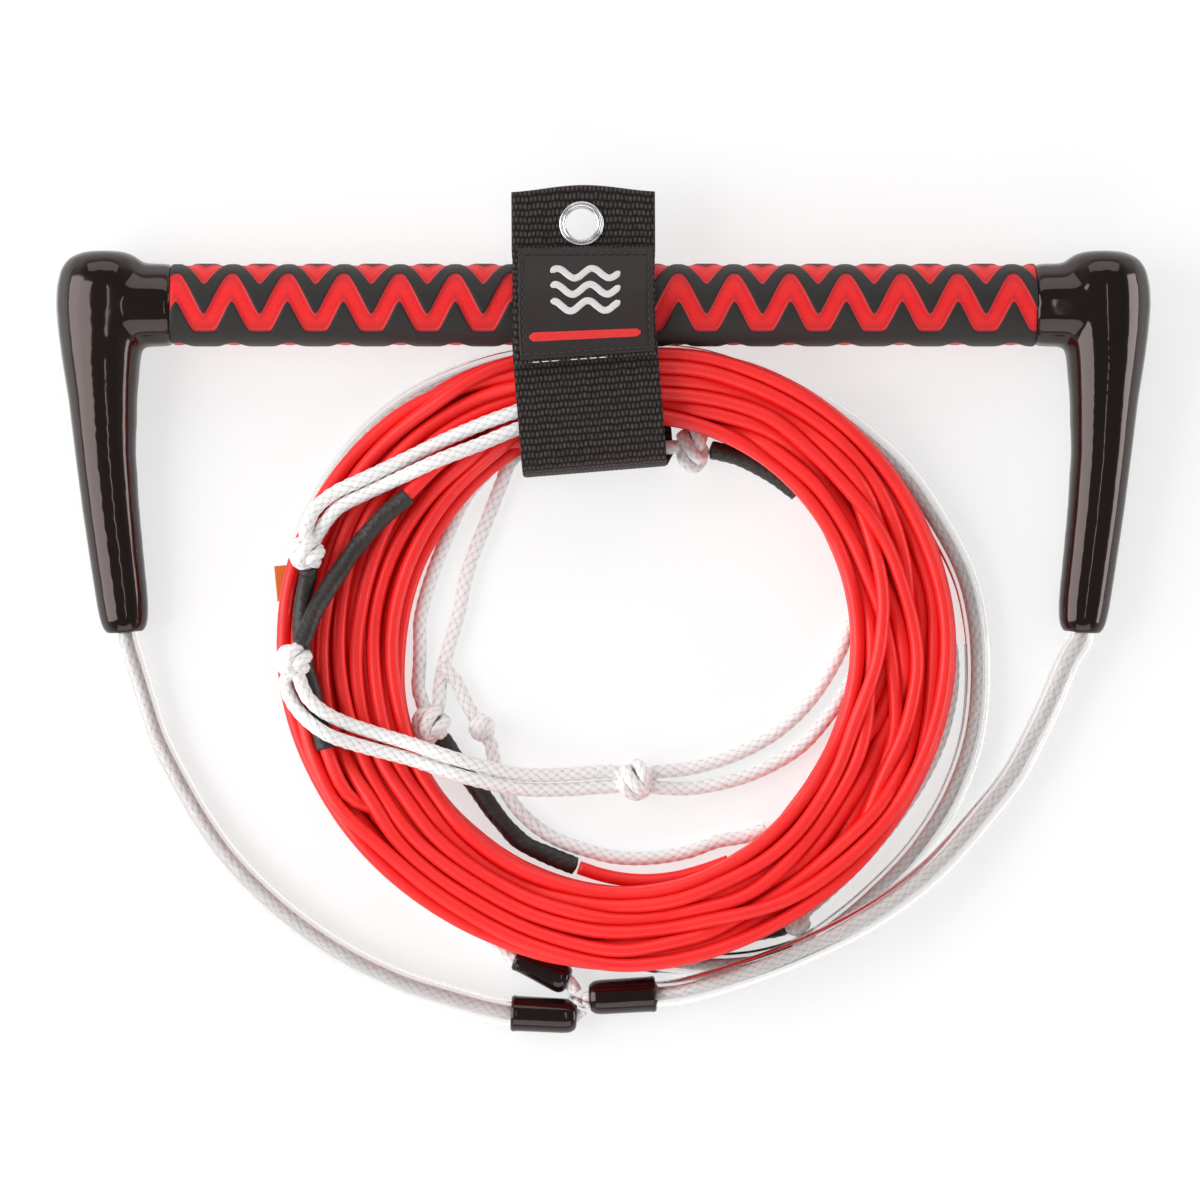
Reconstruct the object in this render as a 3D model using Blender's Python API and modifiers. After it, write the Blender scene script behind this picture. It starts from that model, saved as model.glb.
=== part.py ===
"""A wakeboard tow handle with its bridle, a coiled rope in sections, and the webbing keeper that holds the coil.

The handle lies flat on its resting surface. +X runs along the grip, +Y points away from the bridle, +Z is up,
and the origin is on the resting surface under the middle of the grip.
"""

import math

import bmesh
import bpy
import numpy as np
from mathutils import Matrix, Vector

MM = 0.001
GAP = 0.3  # millimetres left between pieces that touch

# Grip bar, all in millimetres
BAR_Z = 17.0
BAR_HALF_LENGTH = 180.0
BAR_OUTER = 11.1
BAR_WALL = 1.6
GRIP_HALF_LENGTH = 149.7
GRIP_CORE = 13.0
GRIP_OUTER = 14.45
PLUG_SPAN = (142.0, 162.0)

# End caps: the leg's centreline runs from behind the bar down to the bridle, as (across, along, up, radius)
ROPE_HOLE_X = 174.0
CAP_COLLAR = ((150.0, 14.4), (153.0, 14.7), (162.0, 14.9), (169.0, 15.3), (174.0, 15.6))
CAP_LEG = (
    (174.0, 18.8, 17.0, 6.0), (174.0, 17.9, 17.0, 9.6), (174.0, 15.9, 17.0, 12.9), (174.1, 12.0, 17.0, 15.4),
    (174.2, 6.0, 17.0, 16.6), (174.4, -1.0, 17.0, 16.7), (174.9, -10.0, 16.9, 15.4), (175.1, -18.5, 16.2, 14.0),
    (174.6, -33.0, 15.0, 12.2), (173.8, -52.0, 13.5, 10.8), (172.0, -72.0, 12.0, 10.1), (169.9, -90.0, 10.7, 9.6),
    (168.2, -104.0, 9.8, 9.2), (167.6, -110.0, 9.5, 8.6), (167.4, -113.0, 9.4, 7.6), (167.3, -114.6, 9.3, 6.2),
)
CAP_BORE = 11.4
CAP_BORE_END = 181.5
CAP_PASSAGE = 4.0
CAP_SOCKET_DEPTH = 14.0

# Rope, tubing and red line diameters
ROPE = 5.0
LINE = 4.8
TUBE = 9.5
TUBE_WALL = 1.55
SHRINK = 6.6

# Routes of ropes and tubes, as (x, y, z) of the centreline
BRIDLE_LEFT = (
    (-165.0, -124.0, 8.4), (-161.0, -137.5, 7.0), (-156.5, -151.5, 5.7), (-149.5, -165.5, 5.0),
    (-141.5, -179.5, 5.0), (-131.5, -193.5, 5.0), (-118.5, -207.0, 5.0), (-104.5, -218.5, 5.0),
    (-89.0, -228.5, 5.0), (-71.0, -237.0, 5.0), (-57.0, -241.5, 5.1), (-43.0, -245.5, 5.7),
)
BRIDLE_RIGHT = (
    (162.5, -124.0, 8.3), (157.0, -137.5, 7.3), (150.5, -151.5, 7.0), (143.0, -165.0, 7.4), (131.0, -180.0, 8.8),
    (117.5, -195.0, 11.5), (103.5, -206.5, 14.0), (89.5, -215.5, 15.2), (75.5, -222.5, 15.3),
    (61.5, -228.5, 15.2), (47.5, -233.5, 15.1), (36.0, -237.2, 13.4), (27.0, -239.7, 9.8),
)
HANDLE_LINE = (
    (-36.8, -224.8, 4.9), (-47.0, -214.5, 5.0), (-62.5, -202.5, 5.0),
    (-76.0, -190.0, 5.0), (-86.5, -175.0, 5.0), (-96.0, -159.0, 5.0), (-104.0, -141.0, 5.0), (-108.0, -122.0, 5.0),
    (-108.5, -102.0, 5.0), (-105.5, -82.0, 5.0), (-96.5, -63.5, 5.0), (-84.5, -47.0, 5.1), (-69.0, -34.0, 5.3),
    (-51.0, -25.0, 5.9), (-32.5, -19.5, 6.8), (-13.5, -17.3, 6.9), (5.0, -17.0, 6.9), (21.0, -17.3, 6.9),
    (37.0, -19.5, 6.7), (60.0, -27.0, 5.6), (80.0, -37.5, 5.0), (93.5, -47.5, 5.0), (107.0, -61.0, 5.0),
    (120.0, -81.0, 5.0), (127.0, -96.0, 5.0), (130.3, -111.0, 5.0), (131.3, -124.0, 5.0), (131.0, -137.5, 5.0),
    (129.0, -151.5, 5.0), (124.5, -165.5, 5.0), (117.5, -179.5, 5.0), (107.0, -194.0, 5.0), (93.5, -207.5, 5.0),
    (82.0, -217.0, 5.0), (70.0, -225.0, 5.0), (58.0, -229.0, 5.0), (46.0, -230.8, 5.0), (33.0, -230.8, 5.0),
    (18.0, -229.0, 5.0), (6.0, -226.8, 5.0), (-8.0, -223.6, 5.0),
)
HANDLE_LINE_BARE = (22.0, 9.0)  # how far the rope runs outside its tubing, after the junction and before the knot
ROUTE_STEP = 14.0
LOOP_1 = (
    ((-28.0, -36.5, 30.3), (-43.0, -42.0, 30.3), (-57.0, -48.0, 30.4), (-71.0, -54.8, 30.2), (-83.0, -60.5, 30.0),
     (-93.5, -65.5, 30.0), (-100.5, -71.5, 30.6), (-103.5, -78.5, 31.6)),
    ((-28.0, -42.2, 30.3), (-43.0, -48.8, 30.0), (-57.0, -54.2, 29.0), (-71.0, -60.5, 27.9), (-83.0, -65.9, 27.0),
     (-91.5, -70.2, 26.7), (-96.2, -75.0, 26.8), (-99.2, -79.7, 27.2)),
)
SLEEVE_1 = (
    (-102.5, -94.2, 26.9), (-104.5, -103.0, 26.8), (-105.0, -113.5, 26.8), (-104.0, -124.0, 26.8),
    (-101.5, -134.0, 26.8), (-99.0, -144.5, 27.0), (-96.5, -155.0, 27.6),
)
SLEEVE_2 = (
    (-104.0, -116.2, 33.8), (-100.0, -106.5, 33.6), (-94.5, -97.0, 32.2), (-87.5, -86.5, 29.6),
    (-78.0, -75.2, 29.2), (-67.5, -66.2, 30.6),
)
LOOP_2 = (
    ((-105.0, -131.2, 34.0), (-102.6, -136.5, 34.0), (-97.5, -141.3, 33.6), (-90.0, -145.3, 31.6),
     (-79.5, -149.0, 29.6), (-67.5, -152.6, 29.6), (-55.5, -156.6, 27.4), (-43.0, -160.4, 21.5),
     (-29.0, -163.6, 13.5), (-15.0, -164.0, 7.0), (-3.0, -163.2, 4.3), (4.0, -162.9, 4.3)),
    ((-110.8, -131.2, 34.0), (-108.6, -137.4, 33.6), (-103.6, -143.7, 33.4), (-96.0, -149.3, 33.3),
     (-88.0, -153.2, 31.0), (-78.0, -156.6, 29.2), (-67.0, -159.6, 29.6), (-55.5, -163.0, 27.4),
     (-43.0, -167.0, 21.5), (-29.0, -170.0, 13.5), (-15.0, -170.4, 7.0), (-3.0, -169.4, 4.3), (4.0, -168.8, 4.3)),
)
LOOP_3 = (
    ((18.8, -163.0, 4.3), (30.0, -162.0, 2.8), (44.0, -158.0, 2.8), (56.5, -152.0, 2.8), (66.5, -144.5, 2.8),
     (74.5, -135.5, 2.8), (80.5, -126.0, 2.8), (83.7, -119.5, 2.8), (86.2, -112.5, 2.8)),
    ((18.8, -168.7, 4.3), (30.0, -169.0, 2.8), (44.0, -166.5, 2.8), (56.5, -162.0, 2.8), (69.0, -154.5, 2.8),
     (78.5, -144.0, 2.8), (85.2, -133.5, 2.8), (89.2, -126.0, 2.8), (92.0, -119.5, 2.8)),
)
LOOP_4 = (
    ((-57.6, -139.2, 4.6), (-57.4, -133.5, 3.0), (-56.2, -126.5, 2.8), (-53.5, -117.0, 2.8), (-50.5, -106.5, 2.8),
     (-48.5, -96.0, 2.8), (-45.5, -86.5, 2.8), (-41.5, -76.5, 2.8), (-38.2, -68.0, 3.0), (-35.4, -61.0, 3.6),
     (-32.8, -54.4, 4.6), (-27.6, -50.6, 5.0), (-20.5, -50.2, 5.0), (-10.0, -50.4, 4.9), (2.5, -49.6, 4.9),
     (14.0, -49.2, 5.0), (22.4, -49.2, 5.3)),
    ((-63.4, -139.2, 4.6), (-65.0, -133.5, 3.0), (-64.6, -126.5, 2.8), (-64.4, -118.5, 2.8), (-64.3, -110.0, 2.8),
     (-62.0, -100.0, 2.8), (-58.5, -89.5, 2.8), (-54.5, -79.5, 2.8), (-51.0, -71.5, 2.8), (-46.5, -64.0, 2.8),
     (-40.5, -57.5, 2.8)),
)
SLEEVE_4 = (
    (-55.4, -153.2, 4.6), (-50.5, -160.5, 3.6), (-43.5, -170.0, 3.6), (-37.0, -179.0, 3.6), (-29.0, -187.5, 3.6),
    (-19.5, -192.3, 3.6), (-9.3, -196.4, 3.6),
)
LINE_END_4 = (
    (-8.6, -196.7, 3.6), (-1.0, -198.8, 3.2), (7.5, -199.8, 3.0), (16.0, -199.4, 3.0), (25.5, -197.2, 3.0),
)
LOOP_5 = (
    (-51.2, -131.4, 2.8), (-49.6, -136.0, 2.8), (-46.8, -141.3, 3.6),
)
LOOP_5_TAIL = (
    (-39.4, -153.3, 4.4), (-38.0, -160.5, 2.8), (-35.0, -168.5, 2.8), (-30.4, -175.8, 2.8), (-23.6, -182.4, 2.8),
    (-15.8, -187.1, 2.8), (-6.3, -190.5, 2.8), (4.0, -193.1, 2.8), (16.0, -193.4, 2.8), (29.0, -191.4, 2.8),
    (40.0, -187.5, 2.8), (49.0, -186.0, 2.8), (57.0, -183.0, 2.8),
)
SLEEVE_6 = ((40.4, -50.6, 4.0), (49.5, -53.5, 3.6), (60.0, -59.0, 3.6), (68.5, -65.5, 3.6))
LOOP_7 = (
    (72.0, -211.0, 3.4), (79.0, -205.0, 2.8), (89.5, -195.0, 2.8), (101.0, -181.5, 2.8), (111.5, -166.0, 2.8),
    (118.3, -151.5, 2.8), (121.8, -137.5, 2.8), (122.6, -127.0, 2.8), (122.0, -118.5, 2.8),
)
SLEEVE_7 = ((62.2, -217.6, 3.9), (56.5, -218.9, 3.6), (47.5, -220.6, 3.6), (39.0, -220.4, 3.6), (30.0, -218.8, 3.6))

# Knots, as (centre, half sizes); the number is that of the loop they close
KNOTS = {
    "loop_knot_1": ((-103.0, -86.5, 30.6), (6.6, 6.8, 5.6)),
    "loop_knot_2": ((-107.2, -123.6, 36.0), (6.8, 6.8, 5.4)),
    "loop_knot_3": ((11.4, -165.9, 5.6), (6.7, 6.2, 5.4)),
    "loop_knot_4": ((-60.3, -146.4, 5.9), (6.3, 6.8, 5.6)),
    "loop_knot_5": ((-42.6, -147.6, 4.5), (4.4, 5.3, 4.2)),
    "loop_knot_6": ((31.2, -49.2, 5.3), (8.4, 4.9, 5.0)),
    "loop_knot_7": ((67.2, -215.0, 5.3), (4.9, 4.6, 5.0)),
    "handle_line_knot": ((-13.6, -221.9, 5.4), (5.0, 5.0, 5.1)),
    "junction_knot": ((-7.2, -244.2, 5.4), (1.5, 5.2, 4.4)),
}

# Junction sleeves: (open end, closed end, open radius, closed radius)
SLEEVE_SOCKET = 16.0
JUNCTION_SLEEVES = {
    "junction_sleeve_left": ((-32.4, -247.6, 6.35), (-9.2, -248.7, 6.35), 6.2, 6.1),
    "junction_sleeve_right": ((18.4, -240.8, 6.35), (-5.2, -242.2, 6.35), 6.2, 6.1),
    "junction_sleeve_line": ((-31.0, -228.6, 4.3), (-12.0, -236.4, 5.8), 3.9, 5.6),
}

# The coil of red line about (COIL_X, COIL_Y), as (angle, middle radius, half width, inner bottom, outer bottom,
# top, where the bottom steps up from -1 inside to 1 outside)
COIL_X, COIL_Y = 5.0, -122.0
COIL_SECTIONS = (
    (0, 100.0, 18.6, 5.9, 5.9, 24.0, 0.4), (30, 100.4, 16.8, 7.6, 10.4, 25.0, 0.3),
    (60, 98.2, 15.0, 7.6, 12.0, 26.5, 0.2), (90, 94.6, 13.3, 2.4, 12.4, 27.2, 0.3),
    (120, 95.2, 18.0, 5.9, 12.0, 26.0, 0.5), (150, 96.6, 22.5, 5.9, 11.0, 23.4, 0.5),
    (180, 96.6, 22.7, 1.0, 11.0, 22.9, 0.3), (210, 95.9, 18.4, 1.0, 11.0, 24.5, 0.0),
    (240, 94.4, 15.7, 1.0, 12.0, 27.0, 0.0), (270, 95.7, 14.6, 1.0, 11.2, 27.0, -0.4),
    (300, 95.8, 15.2, 5.9, 11.2, 26.5, -0.1), (330, 97.2, 17.8, 1.0, 8.6, 24.5, 0.4),
)
COIL_STATIONS = 48
COIL_CORNER = 4.0
COIL_NEAREST_BAR = -14.9  # the coil's outer side stops here, against the grip

# The keeper strap, drawn in its own plane: u across the strap, v along it, z up
KEEPER_X = -5.05
KEEPER_TURN = math.radians(1.75)
STRAP_WIDTH = 50.2
STRAP_THICK = 1.5
TAB_SPAN = (19.0, 41.0)
TAB_Z = (23.5, 26.5)
BACK_LAYER = (
    (18.6, 25.0), (16.9, 21.5), (16.6, 17.0), (15.6, 11.4), (12.6, 6.2), (8.8, 3.0), (4.8, 1.15), (1.6, 0.75),
    (-50.0, 0.75), (-54.2, 1.5), (-56.6, 4.6), (-57.3, 8.5), (-57.3, 12.7),
)
TAIL_THICK = 1.3
TAIL_LAYER = (
    (-57.3, 14.6), (-57.1, 24.0), (-55.6, 30.0), (-52.4, 33.1), (-47.0, 33.85), (-36.0, 33.85), (-11.0, 33.85),
)
FLAP_THICK = 1.3
FLAP_LAYER = (
    (18.3, 28.3), (15.7, 29.83), (12.0, 32.0), (5.5, 35.0), (0.0, 36.6), (-6.0, 37.35), (-12.0, 37.45),
    (-19.3, 37.45), (-20.0, 37.45),
)
FLAP_HINGE = (18.3, 28.3)
TAIL_HINGE = (-57.3, 13.9)
LABEL_WIDTH = 46.5
LABEL_THICK = 0.5
PAD_WIDTH = 44.0
PAD_THICK = 0.7
HOOK_PAD = ((-9.0, 36.2), (-19.4, 36.2))
LOOP_PAD = ((-12.0, 35.15), (-30.0, 35.15))
GROMMET = (-1.7, 27.8)
GROMMET_HOLE = 5.35
GROMMET_BARREL = 6.0
GROMMET_RIM = 7.8
TAG_BOX = ((-114.6, -103.0, 10.1), (-106.5, -90.6, 10.6))


# ---------------------------------------------------------------- building blocks

def clear_scene():
    for obj in list(bpy.data.objects):
        bpy.data.objects.remove(obj, do_unlink=True)


def make_collection(name, helper=False):
    collection = bpy.data.collections.new(name)
    bpy.context.scene.collection.children.link(collection)
    collection.hide_render = helper
    return collection


def make_material(name, color, roughness, metallic=0.0, alpha=1.0):
    material = bpy.data.materials.new(name)
    material.use_nodes = True
    shader = material.node_tree.nodes["Principled BSDF"]
    shader.inputs["Base Color"].default_value = (*color, 1.0)
    shader.inputs["Roughness"].default_value = roughness
    shader.inputs["Metallic"].default_value = metallic
    shader.inputs["Alpha"].default_value = alpha
    return material


def add_object(name, data, material=None):
    """Links an object into the part's collection, or among the cutters when it has no material."""
    obj = bpy.data.objects.new(name, data)
    if material is None:
        CUTTERS.objects.link(obj)
        obj.hide_render = True
        obj.display_type = "WIRE"
    else:
        PARTS.objects.link(obj)
        data.materials.append(material)
    return obj


def add_mesh(name, points, edges, faces, material=None):
    mesh = bpy.data.meshes.new(name)
    mesh.from_pydata([tuple(MM * v for v in point) for point in points], edges, faces)
    return add_object(name, mesh, material)


def as_mesh(curve):
    """The curve as a mesh object of the same name and material, with its loose caps welded on."""
    bpy.context.view_layer.update()
    evaluated = curve.evaluated_get(bpy.context.evaluated_depsgraph_get())
    mesh = bpy.data.meshes.new_from_object(evaluated)
    name = curve.name
    matrix = curve.matrix_world.copy()
    helper = curve.hide_render
    bpy.data.objects.remove(curve, do_unlink=True)
    work = bmesh.new()
    work.from_mesh(mesh)
    bmesh.ops.remove_doubles(work, verts=work.verts, dist=0.01 * MM)
    work.to_mesh(mesh)
    work.free()
    materials = list(mesh.materials)
    mesh.materials.clear()
    mesh.name = name
    obj = add_object(name, mesh, None if helper else materials[0])
    obj.matrix_world = matrix
    return obj


def smooth_route(route, spacing):
    """Points at even steps along a smooth curve through the route's own points."""
    knots = np.array(route, float)
    ends = np.vstack([2 * knots[0] - knots[1], knots, 2 * knots[-1] - knots[-2]])
    fine = []
    for a, b, c, d in zip(ends, ends[1:], ends[2:], ends[3:]):
        for t in np.linspace(0, 1, 12, endpoint=False):
            fine.append(0.5 * (2 * b + (c - a) * t + (2 * a - 5 * b + 4 * c - d) * t * t
                               + (3 * b - a - 3 * c + d) * t ** 3))
    fine = np.array(fine + [knots[-1]])
    along = np.concatenate([[0], np.cumsum(np.linalg.norm(np.diff(fine[:, :3], axis=0), axis=1))])
    count = max(3, int(round(along[-1] / spacing)) + 1)
    steps = np.linspace(0, along[-1], count)
    return np.stack([np.interp(steps, along, fine[:, k]) for k in range(knots.shape[1])], axis=1)


def tube(name, points, diameter, material, resolution=2, capped=True):
    """A round rod along points given as (x, y, z) or, where it tapers, (x, y, z, radius)."""
    data = bpy.data.curves.new(name, "CURVE")
    data.dimensions = "3D"
    data.bevel_resolution = resolution
    data.use_fill_caps = capped
    spline = data.splines.new("POLY")
    spline.points.add(len(points) - 1)
    tapers = len(points[0]) == 4
    data.bevel_depth = MM if tapers else MM * diameter / 2
    for target, point in zip(spline.points, points):
        target.co = (*(MM * v for v in point[:3]), 1.0)
        target.radius = point[3] if tapers else 1.0
    return add_object(name, data, material)


def cord(name, route, diameter, material, resolution=2):
    return tube(name, smooth_route(route, 2.2 * diameter), diameter, material, resolution)


def hollow_tube(name, points, diameter, wall, material):
    pipe = as_mesh(tube(name, points, diameter, material, capped=False))
    solidify = pipe.modifiers.new("wall", "SOLIDIFY")
    solidify.thickness = MM * wall
    solidify.offset = -1.0
    solidify.use_even_offset = True
    return pipe


def turned(name, profile, material, steps, start, direction=(0, 0, 1)):
    """A profile of (radius, height) turned about an axis through start, with height along direction."""
    count = len(profile)
    closed = profile[0][0] > 0.01
    edges = [(i, (i + 1) % count) for i in range(count if closed else count - 1)]
    obj = add_mesh(name, [(r, 0.0, h) for r, h in profile], edges, [], material)
    screw = obj.modifiers.new("turn", "SCREW")
    screw.steps = steps
    screw.render_steps = steps
    screw.use_merge_vertices = True
    screw.merge_threshold = 0.00001
    obj.location = [MM * v for v in start]
    obj.rotation_euler = Vector(direction).to_track_quat("Z", "Y").to_euler()
    return obj


def ring_profile(inner, outer, low, high):
    """A tube's wall in section, running down its outer side and up its bore."""
    return [(outer, high), (outer, low), (inner, low), (inner, high)]


def combine(target, other, operation):
    boolean = target.modifiers.new(other.name, "BOOLEAN")
    boolean.object = other
    boolean.operation = operation
    boolean.solver = "EXACT"


def cylinder_cutter(name, start, end, radius, segments=16):
    """A closed cylinder from start to end that removes material."""
    axis = Vector(end) - Vector(start)
    work = bmesh.new()
    bmesh.ops.create_cone(work, cap_ends=True, segments=segments, radius1=MM * radius, radius2=MM * radius,
                          depth=MM * axis.length)
    mesh = bpy.data.meshes.new(name)
    work.to_mesh(mesh)
    work.free()
    cutter = add_object(name, mesh)
    cutter.location = [MM * v for v in (Vector(start) + Vector(end)) / 2]
    cutter.rotation_euler = axis.to_track_quat("Z", "Y").to_euler()
    return cutter


def outline_strip(name, outline, width, material, hinge=(0.0, 0.0)):
    """A closed outline of (v, z) drawn through the width of the strap. The object's origin is on its hinge line."""
    data = bpy.data.curves.new(name, "CURVE")
    data.dimensions = "2D"
    data.fill_mode = "BOTH"
    data.extrude = MM * width / 2
    spline = data.splines.new("POLY")
    spline.points.add(len(outline) - 1)
    spline.use_cyclic_u = True
    for target, (v, z) in zip(spline.points, outline):
        target.co = (MM * (v - hinge[0]), MM * (z - hinge[1]), 0.0, 1.0)
    obj = add_object(name, data, material)
    upright = Matrix(((0, 0, 1, 0), (1, 0, 0, 0), (0, 1, 0, 0), (0, 0, 0, 1)))
    obj.matrix_world = keeper_frame() @ Matrix.Translation((0, MM * hinge[0], MM * hinge[1])) @ upright
    return obj


def keeper_frame():
    return Matrix.Translation((MM * KEEPER_X, 0, 0)) @ Matrix.Rotation(KEEPER_TURN, 4, "Z")


def moved_aside(layer, distance):
    """A layer's middle line, moved to its left by a distance."""
    line = [Vector(point) for point in layer]
    steps = [(after - before).normalized() for before, after in zip(line, line[1:])]
    moved = []
    for point, before, after in zip(line, steps[:1] + steps, steps + steps[-1:]):
        side = Vector((-before.y - after.y, before.x + after.x)).normalized()
        moved.append(tuple(point + side * distance / side.dot(Vector((-before.y, before.x)))))
    return moved


def both_sides(layer, thickness):
    """The outline of a layer of webbing: its middle line moved half its thickness to either side."""
    return moved_aside(layer, thickness / 2) + moved_aside(layer, -thickness / 2)[::-1]


def ball(name, centre, half_sizes, material, segments=12, rings=8):
    work = bmesh.new()
    bmesh.ops.create_uvsphere(work, u_segments=segments, v_segments=rings, radius=1.0)
    bmesh.ops.scale(work, vec=[MM * s for s in half_sizes], verts=work.verts)
    mesh = bpy.data.meshes.new(name)
    work.to_mesh(mesh)
    work.free()
    obj = add_object(name, mesh, material)
    obj.location = [MM * v for v in centre]
    return obj


# ---------------------------------------------------------------- the grip bar and its end caps

def make_bar():
    across = ((0, 0, BAR_Z), (1, 0, 0))
    profile = ring_profile(BAR_OUTER - BAR_WALL, BAR_OUTER, -BAR_HALF_LENGTH, BAR_HALF_LENGTH)
    bar = turned("handle_tube", profile, ALUMINIUM, 24, *across)
    for side, name in ((-1, "left"), (1, "right")):
        x = side * ROPE_HOLE_X
        hole = cylinder_cutter(f"bar_hole_{name}", (x, -16, BAR_Z), (x, -5, BAR_Z), ROPE / 2 + 1.0)
        combine(bar, hole, "DIFFERENCE")
    core = ring_profile(BAR_OUTER + GAP, GRIP_CORE, -GRIP_HALF_LENGTH, GRIP_HALF_LENGTH)
    turned("grip_core", core, RED_FOAM, 24, *across)
    cover = ring_profile(GRIP_CORE + GAP, GRIP_OUTER, -GRIP_HALF_LENGTH, GRIP_HALF_LENGTH)
    turned("grip_cover", cover, BLACK_FOAM, 32, *across)


def make_float_plug(side, name):
    radius = BAR_OUTER - BAR_WALL - GAP
    low, high = PLUG_SPAN
    profile = [(0.0, high), (radius - 1, high), (radius, high - 1), (radius, low + 1), (radius - 1, low), (0.0, low)]
    turned(f"float_plug_{name}", profile, GREY_FOAM, 16, (0, 0, BAR_Z), (side, 0, 0))


def make_end_cap(side, name):
    collar = [(side * x, 0.0, BAR_Z, radius) for x, radius in CAP_COLLAR]
    leg = [(side * x, y, z, radius) for x, y, z, radius in CAP_LEG]
    cap = as_mesh(tube(f"end_cap_{name}", leg, 0, BLACK_VINYL, resolution=6))
    combine(cap, as_mesh(tube(f"collar_{name}", collar, 0, None, resolution=6)), "UNION")
    bore = cylinder_cutter(f"bore_{name}", (side * 140, 0, BAR_Z), (side * CAP_BORE_END, 0, BAR_Z), CAP_BORE, 24)
    combine(cap, bore, "DIFFERENCE")
    passage = [(side * x, y, z) for x, y, z, _ in CAP_LEG[5:]]
    combine(cap, as_mesh(tube(f"passage_{name}", passage, 2 * CAP_PASSAGE, None, resolution=3)), "DIFFERENCE")
    tip = Vector(passage[-1])
    inward = (Vector(passage[-5]) - tip).normalized()
    socket = cylinder_cutter(f"socket_{name}", tip - inward * 3, tip + inward * CAP_SOCKET_DEPTH,
                             TUBE / 2 + GAP, 16)
    combine(cap, socket, "DIFFERENCE")
    return tip, inward


def make_bridle_leg(side, name, route):
    """The rope from its stopper knot in the bar, through cap and tubing, to the junction."""
    tip, inward = make_end_cap(side, name)
    knot_radius = 6.0
    ball(f"stopper_knot_{name}", (side * ROPE_HOLE_X, 1.0, BAR_Z), (knot_radius, knot_radius, 5.6), WHITE_ROPE)
    down_leg = [(side * ROPE_HOLE_X, 1.0 - knot_radius - GAP, BAR_Z), (side * ROPE_HOLE_X, -12.0, BAR_Z)]
    down_leg += [(side * x, y, z) for x, y, z, _ in CAP_LEG[7:11]]
    mouth, closed_end = [Vector(end) for end in JUNCTION_SLEEVES[f"junction_sleeve_{name}"][:2]]
    axis = (closed_end - mouth).normalized()
    tubed = [tuple(tip + inward * (CAP_SOCKET_DEPTH - 2))]
    tubed += [tuple(p) for p in smooth_route([tuple(tip - inward * 2), *route, tuple(mouth - axis)], ROUTE_STEP)]
    tubed += [tuple(mouth + axis * SLEEVE_SOCKET)]
    hollow_tube(f"bridle_tube_{name}", tubed, TUBE, TUBE_WALL, CLEAR_TUBING)
    rope_end = tuple(closed_end + axis * GAP)
    tube(f"bridle_rope_{name}", down_leg + tubed + [rope_end], ROPE, WHITE_ROPE)


# ---------------------------------------------------------------- the junction and the cords

def make_junction_sleeve(name):
    """A soft cap over a tube's end: an open socket, a shoulder, and a small hole that the rope leaves by."""
    start, end, open_radius, closed_radius = JUNCTION_SLEEVES[name]
    axis = Vector(end) - Vector(start)
    length = axis.length
    rope_hole = ROPE / 2 + 0.35
    socket = TUBE / 2 + GAP if name != "junction_sleeve_line" else rope_hole
    depth = SLEEVE_SOCKET + 1.0
    profile = [
        (closed_radius - 2.4, length), (closed_radius - 0.8, length - 0.7), (closed_radius, length - 2.4),
        (open_radius, 0.8), (open_radius - 0.4, 0.0), (socket, 0.0), (socket, depth), (rope_hole, depth + 0.6),
        (rope_hole, length),
    ]
    turned(name, profile, BLACK_VINYL, 16, start, axis)


def make_handle_line():
    mouth, closed_end = JUNCTION_SLEEVES["junction_sleeve_line"][:2]
    route = [tuple(p) for p in smooth_route([mouth, *HANDLE_LINE], ROUTE_STEP)]
    first, last = [round(bare / ROUTE_STEP) for bare in HANDLE_LINE_BARE]
    hollow_tube("handle_line_tube", route[first:-last], TUBE, TUBE_WALL, CLEAR_TUBING)
    tube("handle_line_rope", [closed_end] + route, ROPE, WHITE_ROPE)


def make_loop_ropes():
    for number, strands in ((1, LOOP_1), (2, LOOP_2), (3, LOOP_3), (4, LOOP_4)):
        for letter, route in zip("ab", strands):
            cord(f"loop_rope_{number}{letter}", route, ROPE, WHITE_ROPE)
    cord("loop_rope_5a", LOOP_5, ROPE, WHITE_ROPE)
    cord("loop_rope_5b", LOOP_5_TAIL, ROPE, WHITE_ROPE)
    cord("loop_rope_7", LOOP_7, ROPE, WHITE_ROPE)
    cord("red_line_end", LINE_END_4, LINE, RED_LINE)
    for number, route in ((1, SLEEVE_1), (2, SLEEVE_2), (4, SLEEVE_4), (6, SLEEVE_6), (7, SLEEVE_7)):
        cord(f"shrink_sleeve_{number}", route, SHRINK, BLACK_SHRINK)
    for name, (centre, half_sizes) in KNOTS.items():
        ball(name, centre, half_sizes, WHITE_ROPE)


def coil_section(angle):
    """The coil's numbers at an angle, eased between the listed sections."""
    step = 360 / len(COIL_SECTIONS)
    index = int(angle // step)
    ease = 0.5 - 0.5 * math.cos(math.pi * (angle / step - index))
    here = np.array(COIL_SECTIONS[index][1:])
    after = np.array(COIL_SECTIONS[(index + 1) % len(COIL_SECTIONS)][1:])
    return here + (after - here) * ease


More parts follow.
